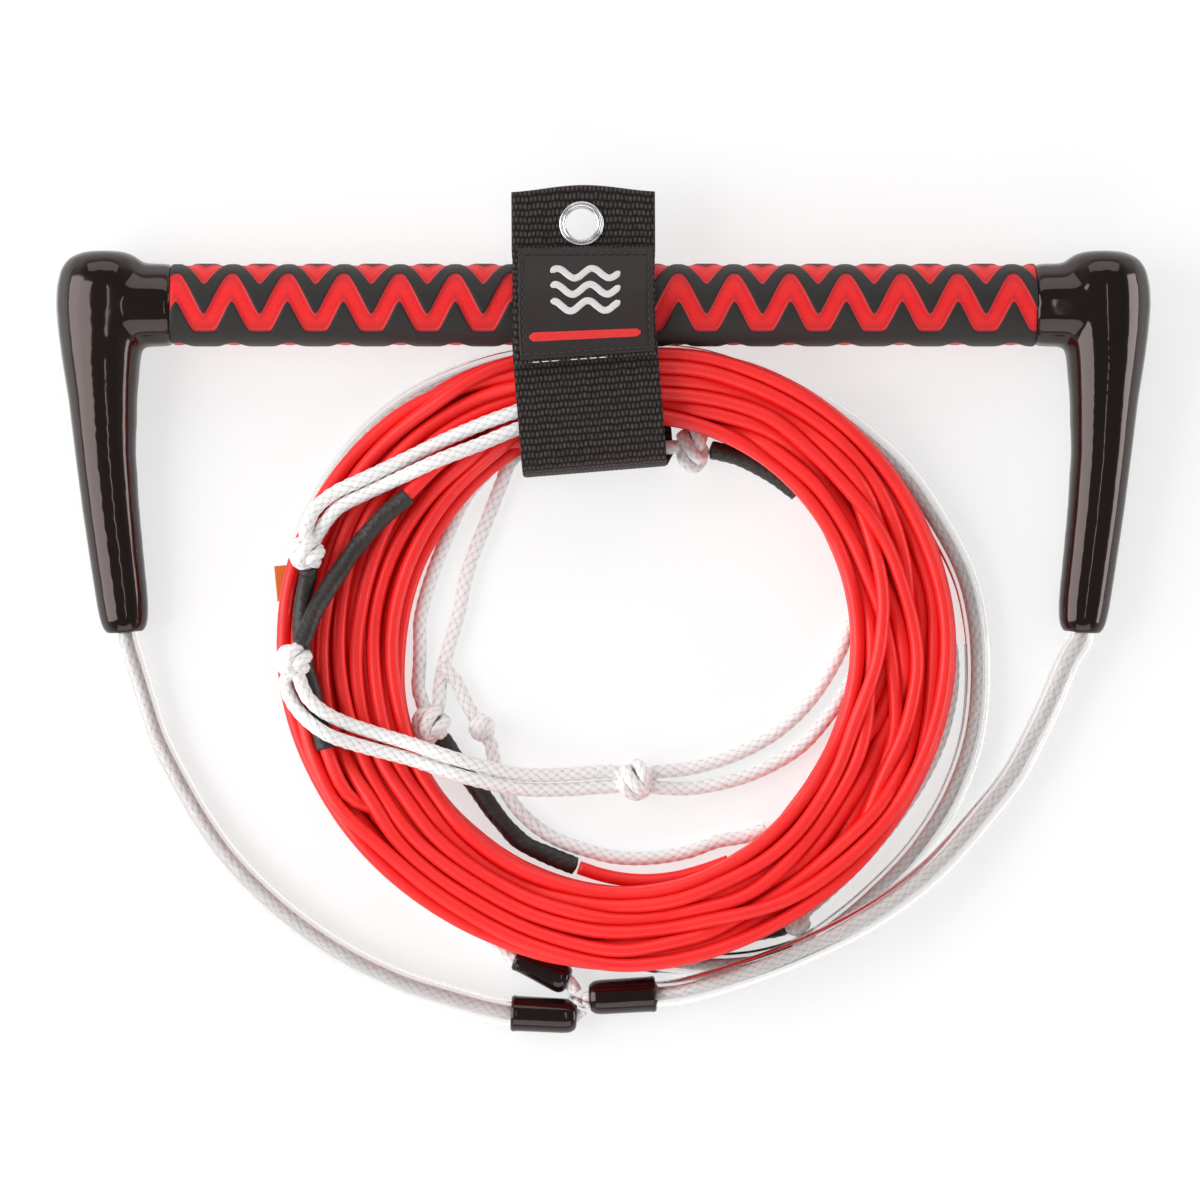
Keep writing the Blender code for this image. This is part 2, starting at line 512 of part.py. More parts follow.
def make_coil():
    """A closed ring lofted through unlike sections, with its outer side raised over the tubing under it."""
    points, faces = [], []
    for station in range(COIL_STATIONS):
        angle = 360 * station / COIL_STATIONS
        middle, half, low_in, low_out, top, step = coil_section(angle)
        inner, outer = middle - half, middle + half
        rise = middle + step * half
        corner = COIL_CORNER
        section = [
            (inner, low_in + corner), (inner + corner, low_in), (rise - 3.0, low_in), (rise + 0.5, low_out),
            (outer - corner, low_out), (outer, low_out + corner), (outer, top - corner), (outer - corner, top),
            (middle, top), (inner + corner, top), (inner, top - corner),
        ]
        turn = math.radians(angle)
        points += [(COIL_X + r * math.cos(turn), min(COIL_Y + r * math.sin(turn), COIL_NEAREST_BAR), z)
                   for r, z in section]
    size = len(section)
    for station in range(COIL_STATIONS):
        here, after = station * size, (station + 1) % COIL_STATIONS * size
        for i in range(size):
            j = (i + 1) % size
            faces.append((here + i, here + j, after + j, after + i))
    coil = add_mesh("mainline_coil", points, [], faces, RED_LINE)
    work = bmesh.new()
    work.from_mesh(coil.data)
    bmesh.ops.recalc_face_normals(work, faces=work.faces)
    work.to_mesh(coil.data)
    work.free()


# ---------------------------------------------------------------- the keeper

def make_keeper():
    tab_low, tab_high = TAB_Z
    back = both_sides(BACK_LAYER, STRAP_THICK)
    count = len(BACK_LAYER)
    tab = [(TAB_SPAN[0] - 0.3, tab_high), (TAB_SPAN[1], tab_high), (TAB_SPAN[1], tab_low), (TAB_SPAN[0] + 0.3, tab_low)]
    strap = as_mesh(outline_strip("keeper_strap", back[1:2 * count - 1] + tab, STRAP_WIDTH, WEBBING))
    place = keeper_frame() @ Vector((MM * GROMMET[0], MM * GROMMET[1], 0))
    x, y = place.x / MM, place.y / MM
    hole = cylinder_cutter("grommet_hole", (x, y, 15), (x, y, 35), GROMMET_BARREL + GAP, 20)
    combine(strap, hole, "DIFFERENCE")
    outline_strip("keeper_tail", both_sides(TAIL_LAYER, TAIL_THICK), STRAP_WIDTH, WEBBING, TAIL_HINGE)
    outline_strip("keeper_flap", both_sides(FLAP_LAYER, FLAP_THICK), STRAP_WIDTH, WEBBING, FLAP_HINGE)
    label = moved_aside(FLAP_LAYER[1:-1], -(FLAP_THICK + LABEL_THICK) / 2 - GAP)
    outline_strip("keeper_label", both_sides(label, LABEL_THICK), LABEL_WIDTH, LABEL_CLOTH, FLAP_HINGE)
    outline_strip("hook_pad", both_sides(HOOK_PAD, PAD_THICK), PAD_WIDTH, HOOK_TAPE, FLAP_HINGE)
    outline_strip("loop_pad", both_sides(LOOP_PAD, PAD_THICK), PAD_WIDTH, HOOK_TAPE, TAIL_HINGE)
    make_grommet(x, y)


def make_grommet(x, y):
    face = TAB_Z[1] + GAP + 0.8
    barrel_end = TAB_Z[0] - 1.2
    profile = [
        (GROMMET_RIM - 0.5, face), (GROMMET_RIM, face - 0.4), (GROMMET_RIM, face - 0.8), (GROMMET_BARREL, face - 0.8),
        (GROMMET_BARREL, barrel_end), (GROMMET_HOLE, barrel_end), (GROMMET_HOLE, face - 0.5),
        (GROMMET_HOLE + 0.5, face),
    ]
    turned("grommet", profile, BRIGHT_METAL, 24, (x, y, 0))
    low, high = TAB_Z[0] - GAP - 0.8, TAB_Z[0] - GAP
    turned("grommet_washer", ring_profile(GROMMET_BARREL + GAP, GROMMET_RIM, low, high), BRIGHT_METAL, 24, (x, y, 0))


def make_tag():
    low, high = TAG_BOX
    work = bmesh.new()
    bmesh.ops.create_cube(work, size=1.0)
    bmesh.ops.scale(work, vec=[MM * (b - a) for a, b in zip(low, high)], verts=work.verts)
    mesh = bpy.data.meshes.new("line_tag")
    work.to_mesh(mesh)
    work.free()
    tag = add_object("line_tag", mesh, ORANGE_TAG)
    tag.location = [MM * (a + b) / 2 for a, b in zip(low, high)]
    tag.rotation_euler = (0, 0, math.radians(-8))


def shade():
    for obj in PARTS.objects:
        if obj.type == "MESH":
            obj.data.shade_smooth()
            obj.data.set_sharp_from_angle(angle=math.radians(40))


clear_scene()
PARTS = make_collection("tow_rope_handle")
CUTTERS = make_collection("cutters", helper=True)

ALUMINIUM = make_material("aluminium", (0.75, 0.76, 0.78), 0.35, metallic=1.0)
BRIGHT_METAL = make_material("bright_metal", (0.86, 0.86, 0.87), 0.18, metallic=1.0)
RED_FOAM = make_material("red_foam", (0.80, 0.03, 0.03), 0.75)
BLACK_FOAM = make_material("black_foam", (0.03, 0.03, 0.032), 0.85)
GREY_FOAM = make_material("grey_foam", (0.35, 0.35, 0.36), 0.9)
BLACK_VINYL = make_material("black_vinyl", (0.012, 0.011, 0.012), 0.18)
BLACK_SHRINK = make_material("black_shrink", (0.03, 0.028, 0.028), 0.45)
CLEAR_TUBING = make_material("clear_tubing", (0.93, 0.93, 0.92), 0.08, alpha=0.35)
WHITE_ROPE = make_material("white_rope", (0.88, 0.88, 0.88), 0.8)
RED_LINE = make_material("red_line", (0.86, 0.035, 0.03), 0.4)
WEBBING = make_material("webbing", (0.035, 0.03, 0.03), 0.85)
LABEL_CLOTH = make_material("label_cloth", (0.028, 0.025, 0.026), 0.7)
HOOK_TAPE = make_material("hook_tape", (0.02, 0.02, 0.02), 0.95)
ORANGE_TAG = make_material("orange_tag", (0.85, 0.27, 0.02), 0.6)

make_bar()
for side, name, route in ((-1, "left", BRIDLE_LEFT), (1, "right", BRIDLE_RIGHT)):
    make_float_plug(side, name)
    make_bridle_leg(side, name, route)
for sleeve in JUNCTION_SLEEVES:
    make_junction_sleeve(sleeve)
make_handle_line()
make_loop_ropes()
make_coil()
make_keeper()
make_tag()
shade()
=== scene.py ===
import math

import bmesh
import bpy
import numpy as np
from mathutils import Matrix, Vector


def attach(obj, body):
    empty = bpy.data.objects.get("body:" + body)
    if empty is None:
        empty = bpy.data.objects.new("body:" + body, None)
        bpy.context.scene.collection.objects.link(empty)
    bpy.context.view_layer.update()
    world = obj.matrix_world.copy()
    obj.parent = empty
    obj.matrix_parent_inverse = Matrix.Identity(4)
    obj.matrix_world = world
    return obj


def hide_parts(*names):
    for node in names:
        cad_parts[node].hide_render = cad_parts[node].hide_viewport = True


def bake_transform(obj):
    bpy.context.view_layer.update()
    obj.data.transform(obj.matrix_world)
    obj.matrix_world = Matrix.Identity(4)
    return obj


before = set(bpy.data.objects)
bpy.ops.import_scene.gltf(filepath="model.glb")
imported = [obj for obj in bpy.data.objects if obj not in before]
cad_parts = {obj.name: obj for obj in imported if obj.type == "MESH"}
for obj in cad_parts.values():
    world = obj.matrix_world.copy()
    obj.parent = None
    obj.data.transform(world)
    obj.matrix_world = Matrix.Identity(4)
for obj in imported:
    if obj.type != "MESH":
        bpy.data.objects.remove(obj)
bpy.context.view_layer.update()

MM = 0.001
rng = np.random.default_rng(7)

# The CAD's own sizes, in millimetres
ROUTE_STEP = 2.0
LAID_SLACK = 1.0  # how far a cord may lie above what it is laid on
COIL_CENTRE = np.array([5.0, -122.0])
LINE_R = 2.4
ROPE_R = 2.5
ROPE_STEP = 0.55
SHRINK_R = 3.3
TUBE_R = 4.75
TUBE_BORE = 3.2
TUBE_SLACK = 0.62  # how far off the middle of its tubing a rope lies
BAR_Z = 17.0
KEEPER_X = -5.05
KEEPER_TURN = math.radians(1.75)

CAMERA_HEIGHT = 2.0  # above the bar's middle, in metres
FRAME_WIDTH = 0.4183  # what the picture takes in at the bar's height, in metres
FRAME_CENTRE = (-0.0012, -0.1028)
LIT_SPOT = Vector((0, -0.1, 0))
FLOOR_DROP = 0.0003


# ---------------------------------------------------------------- camera, floor and light

def make_stage():
    scene = bpy.context.scene
    scene.view_settings.view_transform = "Standard"
    camera = bpy.data.cameras.new("camera")
    camera.lens = camera.sensor_width * CAMERA_HEIGHT / FRAME_WIDTH
    holder = bpy.data.objects.new("camera", camera)
    holder.location = (*FRAME_CENTRE, CAMERA_HEIGHT + BAR_Z * MM)
    scene.collection.objects.link(holder)
    scene.camera = holder

    world = bpy.data.worlds.new("world")
    world.use_nodes = True
    nodes, links = world.node_tree.nodes, world.node_tree.links
    place, parts = nodes.new("ShaderNodeTexCoord"), nodes.new("ShaderNodeSeparateXYZ")
    shade = nodes.new("ShaderNodeValToRGB")
    # height above the horizon, brightness
    sky = ((0.0, 0.90), (0.12, 0.75), (0.3, 0.36), (0.6, 0.20))
    while len(shade.color_ramp.elements) < len(sky):
        shade.color_ramp.elements.new(0.5)
    for element, (position, value) in zip(shade.color_ramp.elements, sky):
        element.position = position
        element.color = (value, value * 0.985, value * 0.97, 1.0)
    links.new(place.outputs["Generated"], parts.inputs["Vector"])
    links.new(parts.outputs["Z"], shade.inputs["Fac"])
    links.new(shade.outputs["Color"], nodes["Background"].inputs["Color"])
    scene.world = world

    # name, position, size, power
    lamps = (
        ("softbox_left", (-1.17, -0.1, 0.76), (1.3, 1.25), 22.5),
        ("softbox_right", (1.35, -0.1, 0.32), (1.3, 0.35), 7.5),
        ("softbox_top", (0.0, 1.6, 1.1), (2.4, 1.2), 16.0),
        ("softbox_low", (0.1, -1.8, 1.1), (2.4, 1.2), 16.0),
        ("strip_above", (0.28, -0.1, 1.55), (1.1, 0.07), 1.1),
    )
    for name, place, size, power in lamps:
        light = bpy.data.lights.new(name, "AREA")
        light.shape = "RECTANGLE"
        light.size, light.size_y = size
        light.energy = power
        lamp = bpy.data.objects.new(name, light)
        lamp.location = place
        lamp.rotation_euler = (LIT_SPOT - Vector(place)).to_track_quat("-Z", "Y").to_euler()
        scene.collection.objects.link(lamp)

    work = bmesh.new()
    bmesh.ops.create_grid(work, x_segments=8, y_segments=8, size=4.0)
    mesh = bpy.data.meshes.new("floor")
    work.to_mesh(mesh)
    work.free()
    floor = bpy.data.objects.new("floor", mesh)
    floor.location = LIT_SPOT - Vector((0, 0, FLOOR_DROP))
    scene.collection.objects.link(floor)
    paint = Nodes("floor", (0.34, 0.34, 0.34), 0.6, Emission_Color=(1.0, 1.0, 1.0, 1.0), Emission_Strength=0.63)
    mesh.materials.append(paint.material)


# ---------------------------------------------------------------- materials

class Nodes:
    """One material's node tree. Inputs are the shader's own, with an underscore for each space."""

    def __init__(self, name, color, roughness, metallic=0.0, **inputs):
        self.material = bpy.data.materials.new(name)
        self.material.use_nodes = True
        self.tree = self.material.node_tree
        self.shader = self.tree.nodes["Principled BSDF"]
        self.shader.inputs["Base Color"].default_value = (*color, 1.0)
        self.shader.inputs["Roughness"].default_value = roughness
        self.shader.inputs["Metallic"].default_value = metallic
        for key, value in inputs.items():
            self.shader.inputs[key.replace("_", " ")].default_value = value

    def node(self, kind, **settings):
        node = self.tree.nodes.new(kind)
        for key, value in settings.items():
            if key in node.inputs:
                node.inputs[key].default_value = value
            else:
                setattr(node, key, value)
        return node

    def link(self, source, target):
        self.tree.links.new(source, target)

    def coords(self, scale=(1, 1, 1)):
        """Object coordinates, in millimetres times scale."""
        place = self.node("ShaderNodeTexCoord")
        mapping = self.node("ShaderNodeMapping")
        mapping.inputs["Scale"].default_value = [1000 * s for s in scale]
        self.link(place.outputs["Object"], mapping.inputs["Vector"])
        return mapping.outputs["Vector"]

    def attribute(self, name):
        return self.node("ShaderNodeAttribute", attribute_name=name).outputs["Fac"]

    def noise(self, scale, detail=3.0, roughness=0.55, vector=None):
        node = self.node("ShaderNodeTexNoise", Scale=scale, Detail=detail, Roughness=roughness)
        self.link(vector or self.coords(), node.inputs["Vector"])
        return node.outputs["Fac"]

    def ramp(self, value, stops):
        node = self.node("ShaderNodeValToRGB")
        elements = node.color_ramp.elements
        while len(elements) < len(stops):
            elements.new(0.5)
        for element, (position, color) in zip(elements, stops):
            element.position = position
            element.color = (*color, 1.0)
        self.link(value, node.inputs["Fac"])
        return node.outputs["Color"]

    def mix(self, factor, a, b, mode="MIX"):
        node = self.node("ShaderNodeMix", data_type="RGBA", blend_type=mode)
        sockets = [s for s in node.inputs if s.enabled]
        for socket, value in zip(sockets, (factor, a, b)):
            if isinstance(value, bpy.types.NodeSocket):
                self.link(value, socket)
            else:
                socket.default_value = value if socket.type == "VALUE" else (*value, 1.0)
        return [s for s in node.outputs if s.enabled][0]

    def math(self, operation, a, b, c=0.0):
        node = self.node("ShaderNodeMath", operation=operation)
        for socket, value in zip(node.inputs, (a, b, c)):
            if isinstance(value, bpy.types.NodeSocket):
                self.link(value, socket)
            else:
                socket.default_value = value
        return node.outputs["Value"]

    def color(self, source):
        self.link(source, self.shader.inputs["Base Color"])

    def roughness(self, value, low, high):
        node = self.node("ShaderNodeMapRange", **{"To Min": low, "To Max": high})
        self.link(value, node.inputs["Value"])
        self.link(node.outputs["Result"], self.shader.inputs["Roughness"])

    def bump(self, height, distance):
        """Bump from a height of 0 to 1, which stands for a distance in millimetres."""
        node = self.node("ShaderNodeBump", Distance=distance * MM, Strength=1.0)
        self.link(height, node.inputs["Height"])
        self.link(node.outputs["Normal"], self.shader.inputs["Normal"])


def varied_material(name, tones, gloss, bump, **inputs):
    """Colour between two tones, roughness in a range and fine bump, each following a noise of (scale, detail)."""
    color, *other = tones[0]
    m = Nodes(name, color, gloss[0], **inputs)
    if other:
        m.color(m.mix(m.noise(*tones[1]), color, other[0]))
    m.roughness(m.noise(*gloss[2:]), gloss[0], gloss[1])
    m.bump(m.noise(*bump[1:]), bump[0])
    return m.material


def thread_material(name, color):
    darker = tuple(0.72 * c for c in color)
    return varied_material(name, ((color, darker), (3.0, 3.0)), (0.4, 0.65, 4.0, 2.0), (0.05, 6.0, 2.0))


def metal_material(name, color, low, high):
    return varied_material(name, ((color,),), (low, high, 0.6, 5.0), (0.01, 1.2, 3.0), Metallic=1.0)


def rope_material(name="braided_rope", brightness=1.0):
    m = Nodes(name, (0.86, 0.86, 0.86), 0.45, Subsurface_Weight=0.12, Subsurface_Radius=(0.002, 0.002, 0.002),
              Sheen_Weight=0.2)
    fibre = m.noise(2.2, 4.0)
    # A brightness above 1 paints the rope lighter, as painted light.
    dull, bright = (tuple(brightness * c for c in tone) for tone in ((0.80, 0.79, 0.785), (0.90, 0.895, 0.89)))
    # Painted shade: the braid's hollows between strands, low in the relief attribute, are darkened down to 0.4 of the
    # rope's tone.
    painted_groove_shading = m.ramp(m.attribute("relief"),
                    ((0.0, (0.40, 0.385, 0.38)), (0.35, (0.76, 0.75, 0.745)), (0.75, (1.0, 1.0, 1.0))))
    m.color(m.mix(1.0, m.mix(fibre, dull, bright), painted_groove_shading, "MULTIPLY"))
    m.roughness(fibre, 0.32, 0.55)
    m.bump(m.noise(5.0, 3.0), 0.08)
    return m.material


def foam_material():
    """Red inside the zigzags and black outside, by the distance from their edge, with painted shade along the step
    between them and a painted highlight on the red's rim.
    """
    m = Nodes("zigzag_foam", (0.03, 0.03, 0.03), 0.7, Specular_IOR_Level=0.35, Sheen_Weight=0.08)
    edge = m.attribute("edge")
    inside = m.math("GREATER_THAN", edge, 0.0)
    speckle = m.noise(1.5, 5.0)
    black = m.mix(speckle, (0.008, 0.0066, 0.0062), (0.020, 0.0165, 0.015))
    # Painted shade: the black is darkened to a quarter just outside the zigzags' edge, where the foam steps down to
    # the red.
    painted_step_shade = m.ramp(m.math("MULTIPLY_ADD", edge, -0.5), ((0.0, (0.25, 0.22, 0.22)), (0.35, (1.0, 1.0, 1.0))))
    red = m.mix(speckle, (0.64, 0.005, 0.007), (0.86, 0.011, 0.013))
    # Painted shade on the red right inside its edge, then a painted pale highlight on its rim and a little painted
    # shade again before the plain red.
    painted_groove_shading = m.ramp(m.math("MULTIPLY_ADD", edge, 0.4),
                    ((0.0, (0.30, 0.30, 0.30)), (0.16, (0.86, 2.2, 2.4)), (0.34, (0.74, 0.9, 0.9)),
                     (1.0, (1.0, 1.0, 1.0))))
    m.color(m.mix(inside, m.mix(1.0, black, painted_step_shade, "MULTIPLY"), m.mix(1.0, red, painted_groove_shading, "MULTIPLY")))
    m.roughness(speckle, 0.46, 0.70)
    m.bump(m.noise(1.3, 5.0), 0.18)
    return m.material


def webbing_material():
    m = Nodes("black_webbing", (0.03, 0.026, 0.026), 0.7, Specular_IOR_Level=0.18, Sheen_Weight=0.05,
              Sheen_Roughness=0.4)
    fibre = m.noise(3.0, 3.0)
    # Painted shade: the weave's hollows, low in the relief attribute, are darkened almost to black; the loops' tops
    # are the webbing's own tone.
    thread = m.ramp(m.attribute("relief"), ((0.0, (0.0012, 0.0009, 0.0008)), (0.4, (0.007, 0.0056, 0.0054)),
                                            (1.0, (0.046, 0.036, 0.034))))
    fuzzy = m.mix(fibre, thread, m.mix(1.0, thread, (1.5, 1.5, 1.5), "MULTIPLY"))
    uneven = m.ramp(m.noise(0.55, 3.0), ((0.3, (0.55, 0.53, 0.52)), (0.7, (1.55, 1.5, 1.48))))
    m.color(m.mix(1.0, fuzzy, uneven, "MULTIPLY"))
    m.roughness(fibre, 0.5, 0.8)
    m.bump(m.noise(4.0, 3.0), 0.08)
    return m.material


def label_material():
    m = Nodes("woven_label", (0.02, 0.018, 0.018), 0.6, Specular_IOR_Level=0.25, Sheen_Weight=0.05)
    thread = m.noise(1.0, 2.0, vector=m.coords((0.35, 5.0, 1.0)))
    m.color(m.mix(thread, (0.017, 0.0125, 0.012), (0.033, 0.025, 0.024)))
    m.roughness(thread, 0.45, 0.65)
    m.bump(thread, 0.05)
    return m.material


# ---------------------------------------------------------------- meshes

def grid_object(name, points, material, closed_u=False, closed_v=True, caps=True, **attributes):
    """A mesh from a grid of points in millimetres: u runs along the first index and v along the second."""
    n, m = points.shape[:2]
    count = n * m
    vertices = points.reshape(-1, 3) * MM
    i = np.arange(n if closed_u else n - 1)[:, None]
    j = np.arange(m if closed_v else m - 1)[None, :]
    i2, j2 = (i + 1) % n, (j + 1) % m
    quads = np.stack([i * m + j, i2 * m + j, i2 * m + j2, i * m + j2], axis=-1).reshape(-1, 4)
    faces = quads.tolist()
    extra = []
    if caps and closed_v and not closed_u:
        extra = [points[0].mean(0) * MM, points[-1].mean(0) * MM]
        for k in range(m):
            faces.append([k, (k + 1) % m, count])
            faces.append([(n - 1) * m + (k + 1) % m, (n - 1) * m + k, count + 1])
        vertices = np.vstack([vertices, extra])
    mesh = bpy.data.meshes.new(name)
    mesh.from_pydata(vertices.tolist(), [], faces)
    mesh.polygons.foreach_set("use_smooth", np.ones(len(mesh.polygons), bool))
    for key, values in attributes.items():
        flat = np.asarray(values, np.float32).reshape(-1)
        if extra:
            flat = np.concatenate([flat, flat[:1], flat[-1:]])
        mesh.attributes.new(key, "FLOAT", "POINT").data.foreach_set("value", flat)
    mesh.materials.append(material)
    obj = bpy.data.objects.new(name, mesh)
    bpy.context.scene.collection.objects.link(obj)
    return obj


def catmull_rom(a, b, c, d, t):
    """Between b and c, at t from 0 to 1."""
    return 0.5 * (2 * b + (c - a) * t + (2 * a - 5 * b + 4 * c - d) * t ** 2 + (3 * b - a - 3 * c + d) * t ** 3)


def smoothstep(t):
    return t * t * (3 - 2 * t)


def unit(vectors):
    return vectors / np.linalg.norm(vectors, axis=-1, keepdims=True)


def distances(path):
    """How far along the path each of its points is."""
    return np.concatenate([[0], np.cumsum(np.linalg.norm(np.diff(path, axis=0), axis=1))])


def smooth_route(route, spacing):
    """A curve through the route's points, as points this far apart."""
    knots = np.array(route, float)
    ends = np.vstack([2 * knots[0] - knots[1], knots, 2 * knots[-1] - knots[-2]])
    t = np.linspace(0, 1, 24, endpoint=False)[:, None]
    fine = []
    for a, b, c, d in zip(ends, ends[1:], ends[2:], ends[3:]):
        fine.append(catmull_rom(a, b, c, d, t))
    return resample(np.vstack(fine + [knots[-1:]]), spacing)


def flat_route(line, spacing):
    return smooth_route([(a, b, 0.0) for a, b in line], spacing)[:, :2]


def resample(path, spacing):
    along = distances(path)
    steps = np.linspace(0, along[-1], max(3, int(round(along[-1] / spacing)) + 1))
    return np.stack([np.interp(steps, along, path[:, k]) for k in range(path.shape[1])], axis=1)


def eased(path, rounds):
    """The path with its kinks smoothed away and its ends kept."""
    path = path.copy()
    for _ in range(rounds):
        path[1:-1] += 0.5 * (0.5 * (path[:-2] + path[2:]) - path[1:-1])
    return path


def length_of(path):
    return float(np.linalg.norm(np.diff(path, axis=0), axis=1).sum())


def moving_frame(path):
    """Two unit vectors across the path at each point, carried along it without twist."""
    tangent = unit(np.gradient(path, axis=0))
    normal = np.zeros_like(path)
    current = unit(np.cross(tangent[0], [0, 0, 1.0]))
    for k, t in enumerate(tangent):
        current = unit(current - t * current.dot(t))
        normal[k] = current
    return normal, np.cross(tangent, normal)


def rings(path, around):
    """The angles of points round a path, and the direction in which each lies from each point of the path."""
    a, b = moving_frame(path)
    turn = np.linspace(0, 2 * math.pi, around, endpoint=False)
    return turn, np.cos(turn)[None, :, None] * a[:, None, :] + np.sin(turn)[None, :, None] * b[:, None, :]


def swept(name, path, radius, material, around=24, relief=None, rounded=0.0):
    """A rod of a radius in millimetres along a path, with a relief of (distance along, turn) if it has one."""
    radius = np.full(len(path), float(radius))
    along = distances(path)
    if rounded:
        for from_end in (along, along[-1] - along):
            near = np.clip(1 - from_end / rounded, 0, 1)
            radius *= np.sqrt(np.clip(1 - 0.92 * near ** 2, 0.02, 1))
    turn, ring = rings(path, around)
    height, depth = (relief(along[:, None], turn[None, :]) if relief else (0.0, 0.0))
    height = np.broadcast_to(height, (len(path), around))
    size = radius[:, None] - depth * (1 - height)
    return grid_object(name, path[:, None, :] + size[:, :, None] * ring, material, relief=height)


def braid(strands=5, lay=20.0, depth=0.42):
    """The relief of a hollow braid: strands wound both ways, each over and under the others."""
    def relief(along, turn):
        left = strands * (turn / (2 * math.pi) - along / lay)
        right = strands * (turn / (2 * math.pi) + along / lay)
        over = (np.floor(left) + np.floor(right)) % 2 < 1
        across = np.where(over, left, right) % 1.0
        down = np.where(over, right, left) % 1.0
        crown = np.sqrt(np.clip(1 - (2 * across - 1) ** 2, 0, 1))
        fall = np.clip(1 - (2 * down - 1) ** 4, 0, 1)
        return crown * (0.35 + 0.65 * fall), depth
    return relief


def rope(name, path, material):
    return swept(name, resample(path, ROPE_STEP), ROPE_R, material, 24, braid())


def turned_object(name, profile, material, start, direction, steps=48):
    """A closed profile of (radius, height) turned about an axis through start."""
    profile = np.array(profile, float)
    axis = Vector(direction).normalized()
    spin = np.array(axis.to_track_quat("Z", "Y").to_matrix())
    turn = np.linspace(0, 2 * math.pi, steps, endpoint=False)
    ring = np.stack([np.cos(turn), np.sin(turn), np.zeros(steps)], axis=1) @ spin.T
    points = (np.array(start)[None, None, :] + profile[:, 0][:, None, None] * ring[None, :, :]
              + profile[:, 1][:, None, None] * np.array(axis)[None, None, :])
    return grid_object(name, points[::-1], material, closed_u=True, caps=False)


def rounded_profile(profile, rounds=2):
    """A closed profile with its corners cut back, Chaikin's way."""
    profile = np.array(profile, float)
    for _ in range(rounds):
        after = np.roll(profile, -1, axis=0)
        profile = np.stack([0.8 * profile + 0.2 * after, 0.2 * profile + 0.8 * after], axis=1).reshape(-1, 2)
    return profile


def evaluated_mesh(obj):
    bpy.context.view_layer.update()
    return bpy.data.meshes.new_from_object(obj.evaluated_get(bpy.context.evaluated_depsgraph_get()))


def finish_piece(obj, body, slot, *nodes):
    if body:
        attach(obj, body)
    if nodes:
        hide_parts(*nodes)
    return obj


# ---------------------------------------------------------------- routes, as in the CAD, in millimetres

CAP_LEG = (
    (174.0, 18.8, 17.0, 6.0), (174.0, 17.9, 17.0, 9.6), (174.0, 15.9, 17.0, 12.9), (174.1, 12.0, 17.0, 15.4),
    (174.2, 6.0, 17.0, 16.6), (174.4, -1.0, 17.0, 16.7), (174.9, -10.0, 16.9, 15.4), (175.1, -18.5, 16.2, 14.0),
    (174.6, -33.0, 15.0, 12.2), (173.8, -52.0, 13.5, 10.8), (172.0, -72.0, 12.0, 10.1), (169.9, -90.0, 10.7, 9.6),
    (168.2, -104.0, 9.8, 9.2), (167.6, -110.0, 9.5, 8.6), (167.4, -113.0, 9.4, 7.6), (167.3, -114.6, 9.3, 6.2),
)
BRIDLE = {
    "left": (
        (-165.0, -124.0, 8.4), (-161.0, -137.5, 7.0), (-156.5, -151.5, 5.7), (-149.5, -165.5, 5.0),
        (-141.5, -179.5, 5.0), (-131.5, -193.5, 5.0), (-118.5, -207.0, 5.0), (-104.5, -218.5, 5.0),
        (-89.0, -228.5, 5.0), (-71.0, -237.0, 5.0), (-57.0, -241.5, 5.1), (-43.0, -245.5, 5.7),
    ),
    "right": (
        (162.5, -124.0, 8.3), (157.0, -137.5, 7.3), (150.5, -151.5, 7.0), (143.0, -165.0, 7.4),
        (131.0, -180.0, 8.8), (117.5, -195.0, 11.5), (103.5, -206.5, 14.0), (89.5, -215.5, 15.2),
        (75.5, -222.5, 15.3), (61.5, -228.5, 15.2), (47.5, -233.5, 15.1), (36.0, -237.2, 13.4), (27.0, -239.7, 9.8),
    ),
}
HANDLE_LINE = (
    (-36.8, -224.8, 4.9), (-47.0, -214.5, 5.0), (-62.5, -202.5, 5.0),
    (-76.0, -190.0, 5.0), (-86.5, -175.0, 5.0), (-96.0, -159.0, 5.0), (-104.0, -141.0, 5.0), (-108.0, -122.0, 5.0),
    (-108.5, -102.0, 5.0), (-105.5, -82.0, 5.0), (-96.5, -63.5, 5.0), (-84.5, -47.0, 5.1), (-69.0, -34.0, 5.3),
    (-51.0, -25.0, 5.9), (-32.5, -19.5, 6.8), (-13.5, -17.3, 6.9), (5.0, -17.0, 6.9), (21.0, -17.3, 6.9),
    (37.0, -19.5, 6.7), (60.0, -27.0, 5.6), (80.0, -37.5, 5.0), (93.5, -47.5, 5.0), (107.0, -61.0, 5.0),
    (120.0, -81.0, 5.0), (127.0, -96.0, 5.0), (130.3, -111.0, 5.0), (131.3, -124.0, 5.0), (131.0, -137.5, 5.0),
    (129.0, -151.5, 5.0), (124.5, -165.5, 5.0), (117.5, -179.5, 5.0), (107.0, -194.0, 5.0), (93.5, -207.5, 5.0),
    (82.0, -217.0, 5.0), (70.0, -225.0, 5.0), (58.0, -229.0, 5.0), (46.0, -230.8, 5.0), (33.0, -230.8, 5.0),
    (18.0, -229.0, 5.0), (6.0, -226.8, 5.0), (-8.0, -223.6, 5.0),
)
ROPE_HOLE_X = 174.0
SLEEVE_SOCKET = 16.0
IN_CAP, IN_SLEEVE = 118.0, 22.0  # lengths of bridle rope in the end cap and in the junction sleeve
BARE_START, BARE_END = 42.0, 9.0  # lengths of the handle's line that are not in tubing
JUNCTION_SLEEVES = {
    "junction_sleeve_left": ((-32.4, -247.6, 6.35), (-9.2, -248.7, 6.35), 6.2, 6.1),
    "junction_sleeve_right": ((18.4, -240.8, 6.35), (-5.2, -242.2, 6.35), 6.2, 6.1),
    "junction_sleeve_line": ((-31.0, -228.6, 4.3), (-12.0, -236.4, 5.8), 3.9, 5.6),
}
BIGHT_1 = 98.0  # length of loop 1's turn under the keeper, which joins its two legs
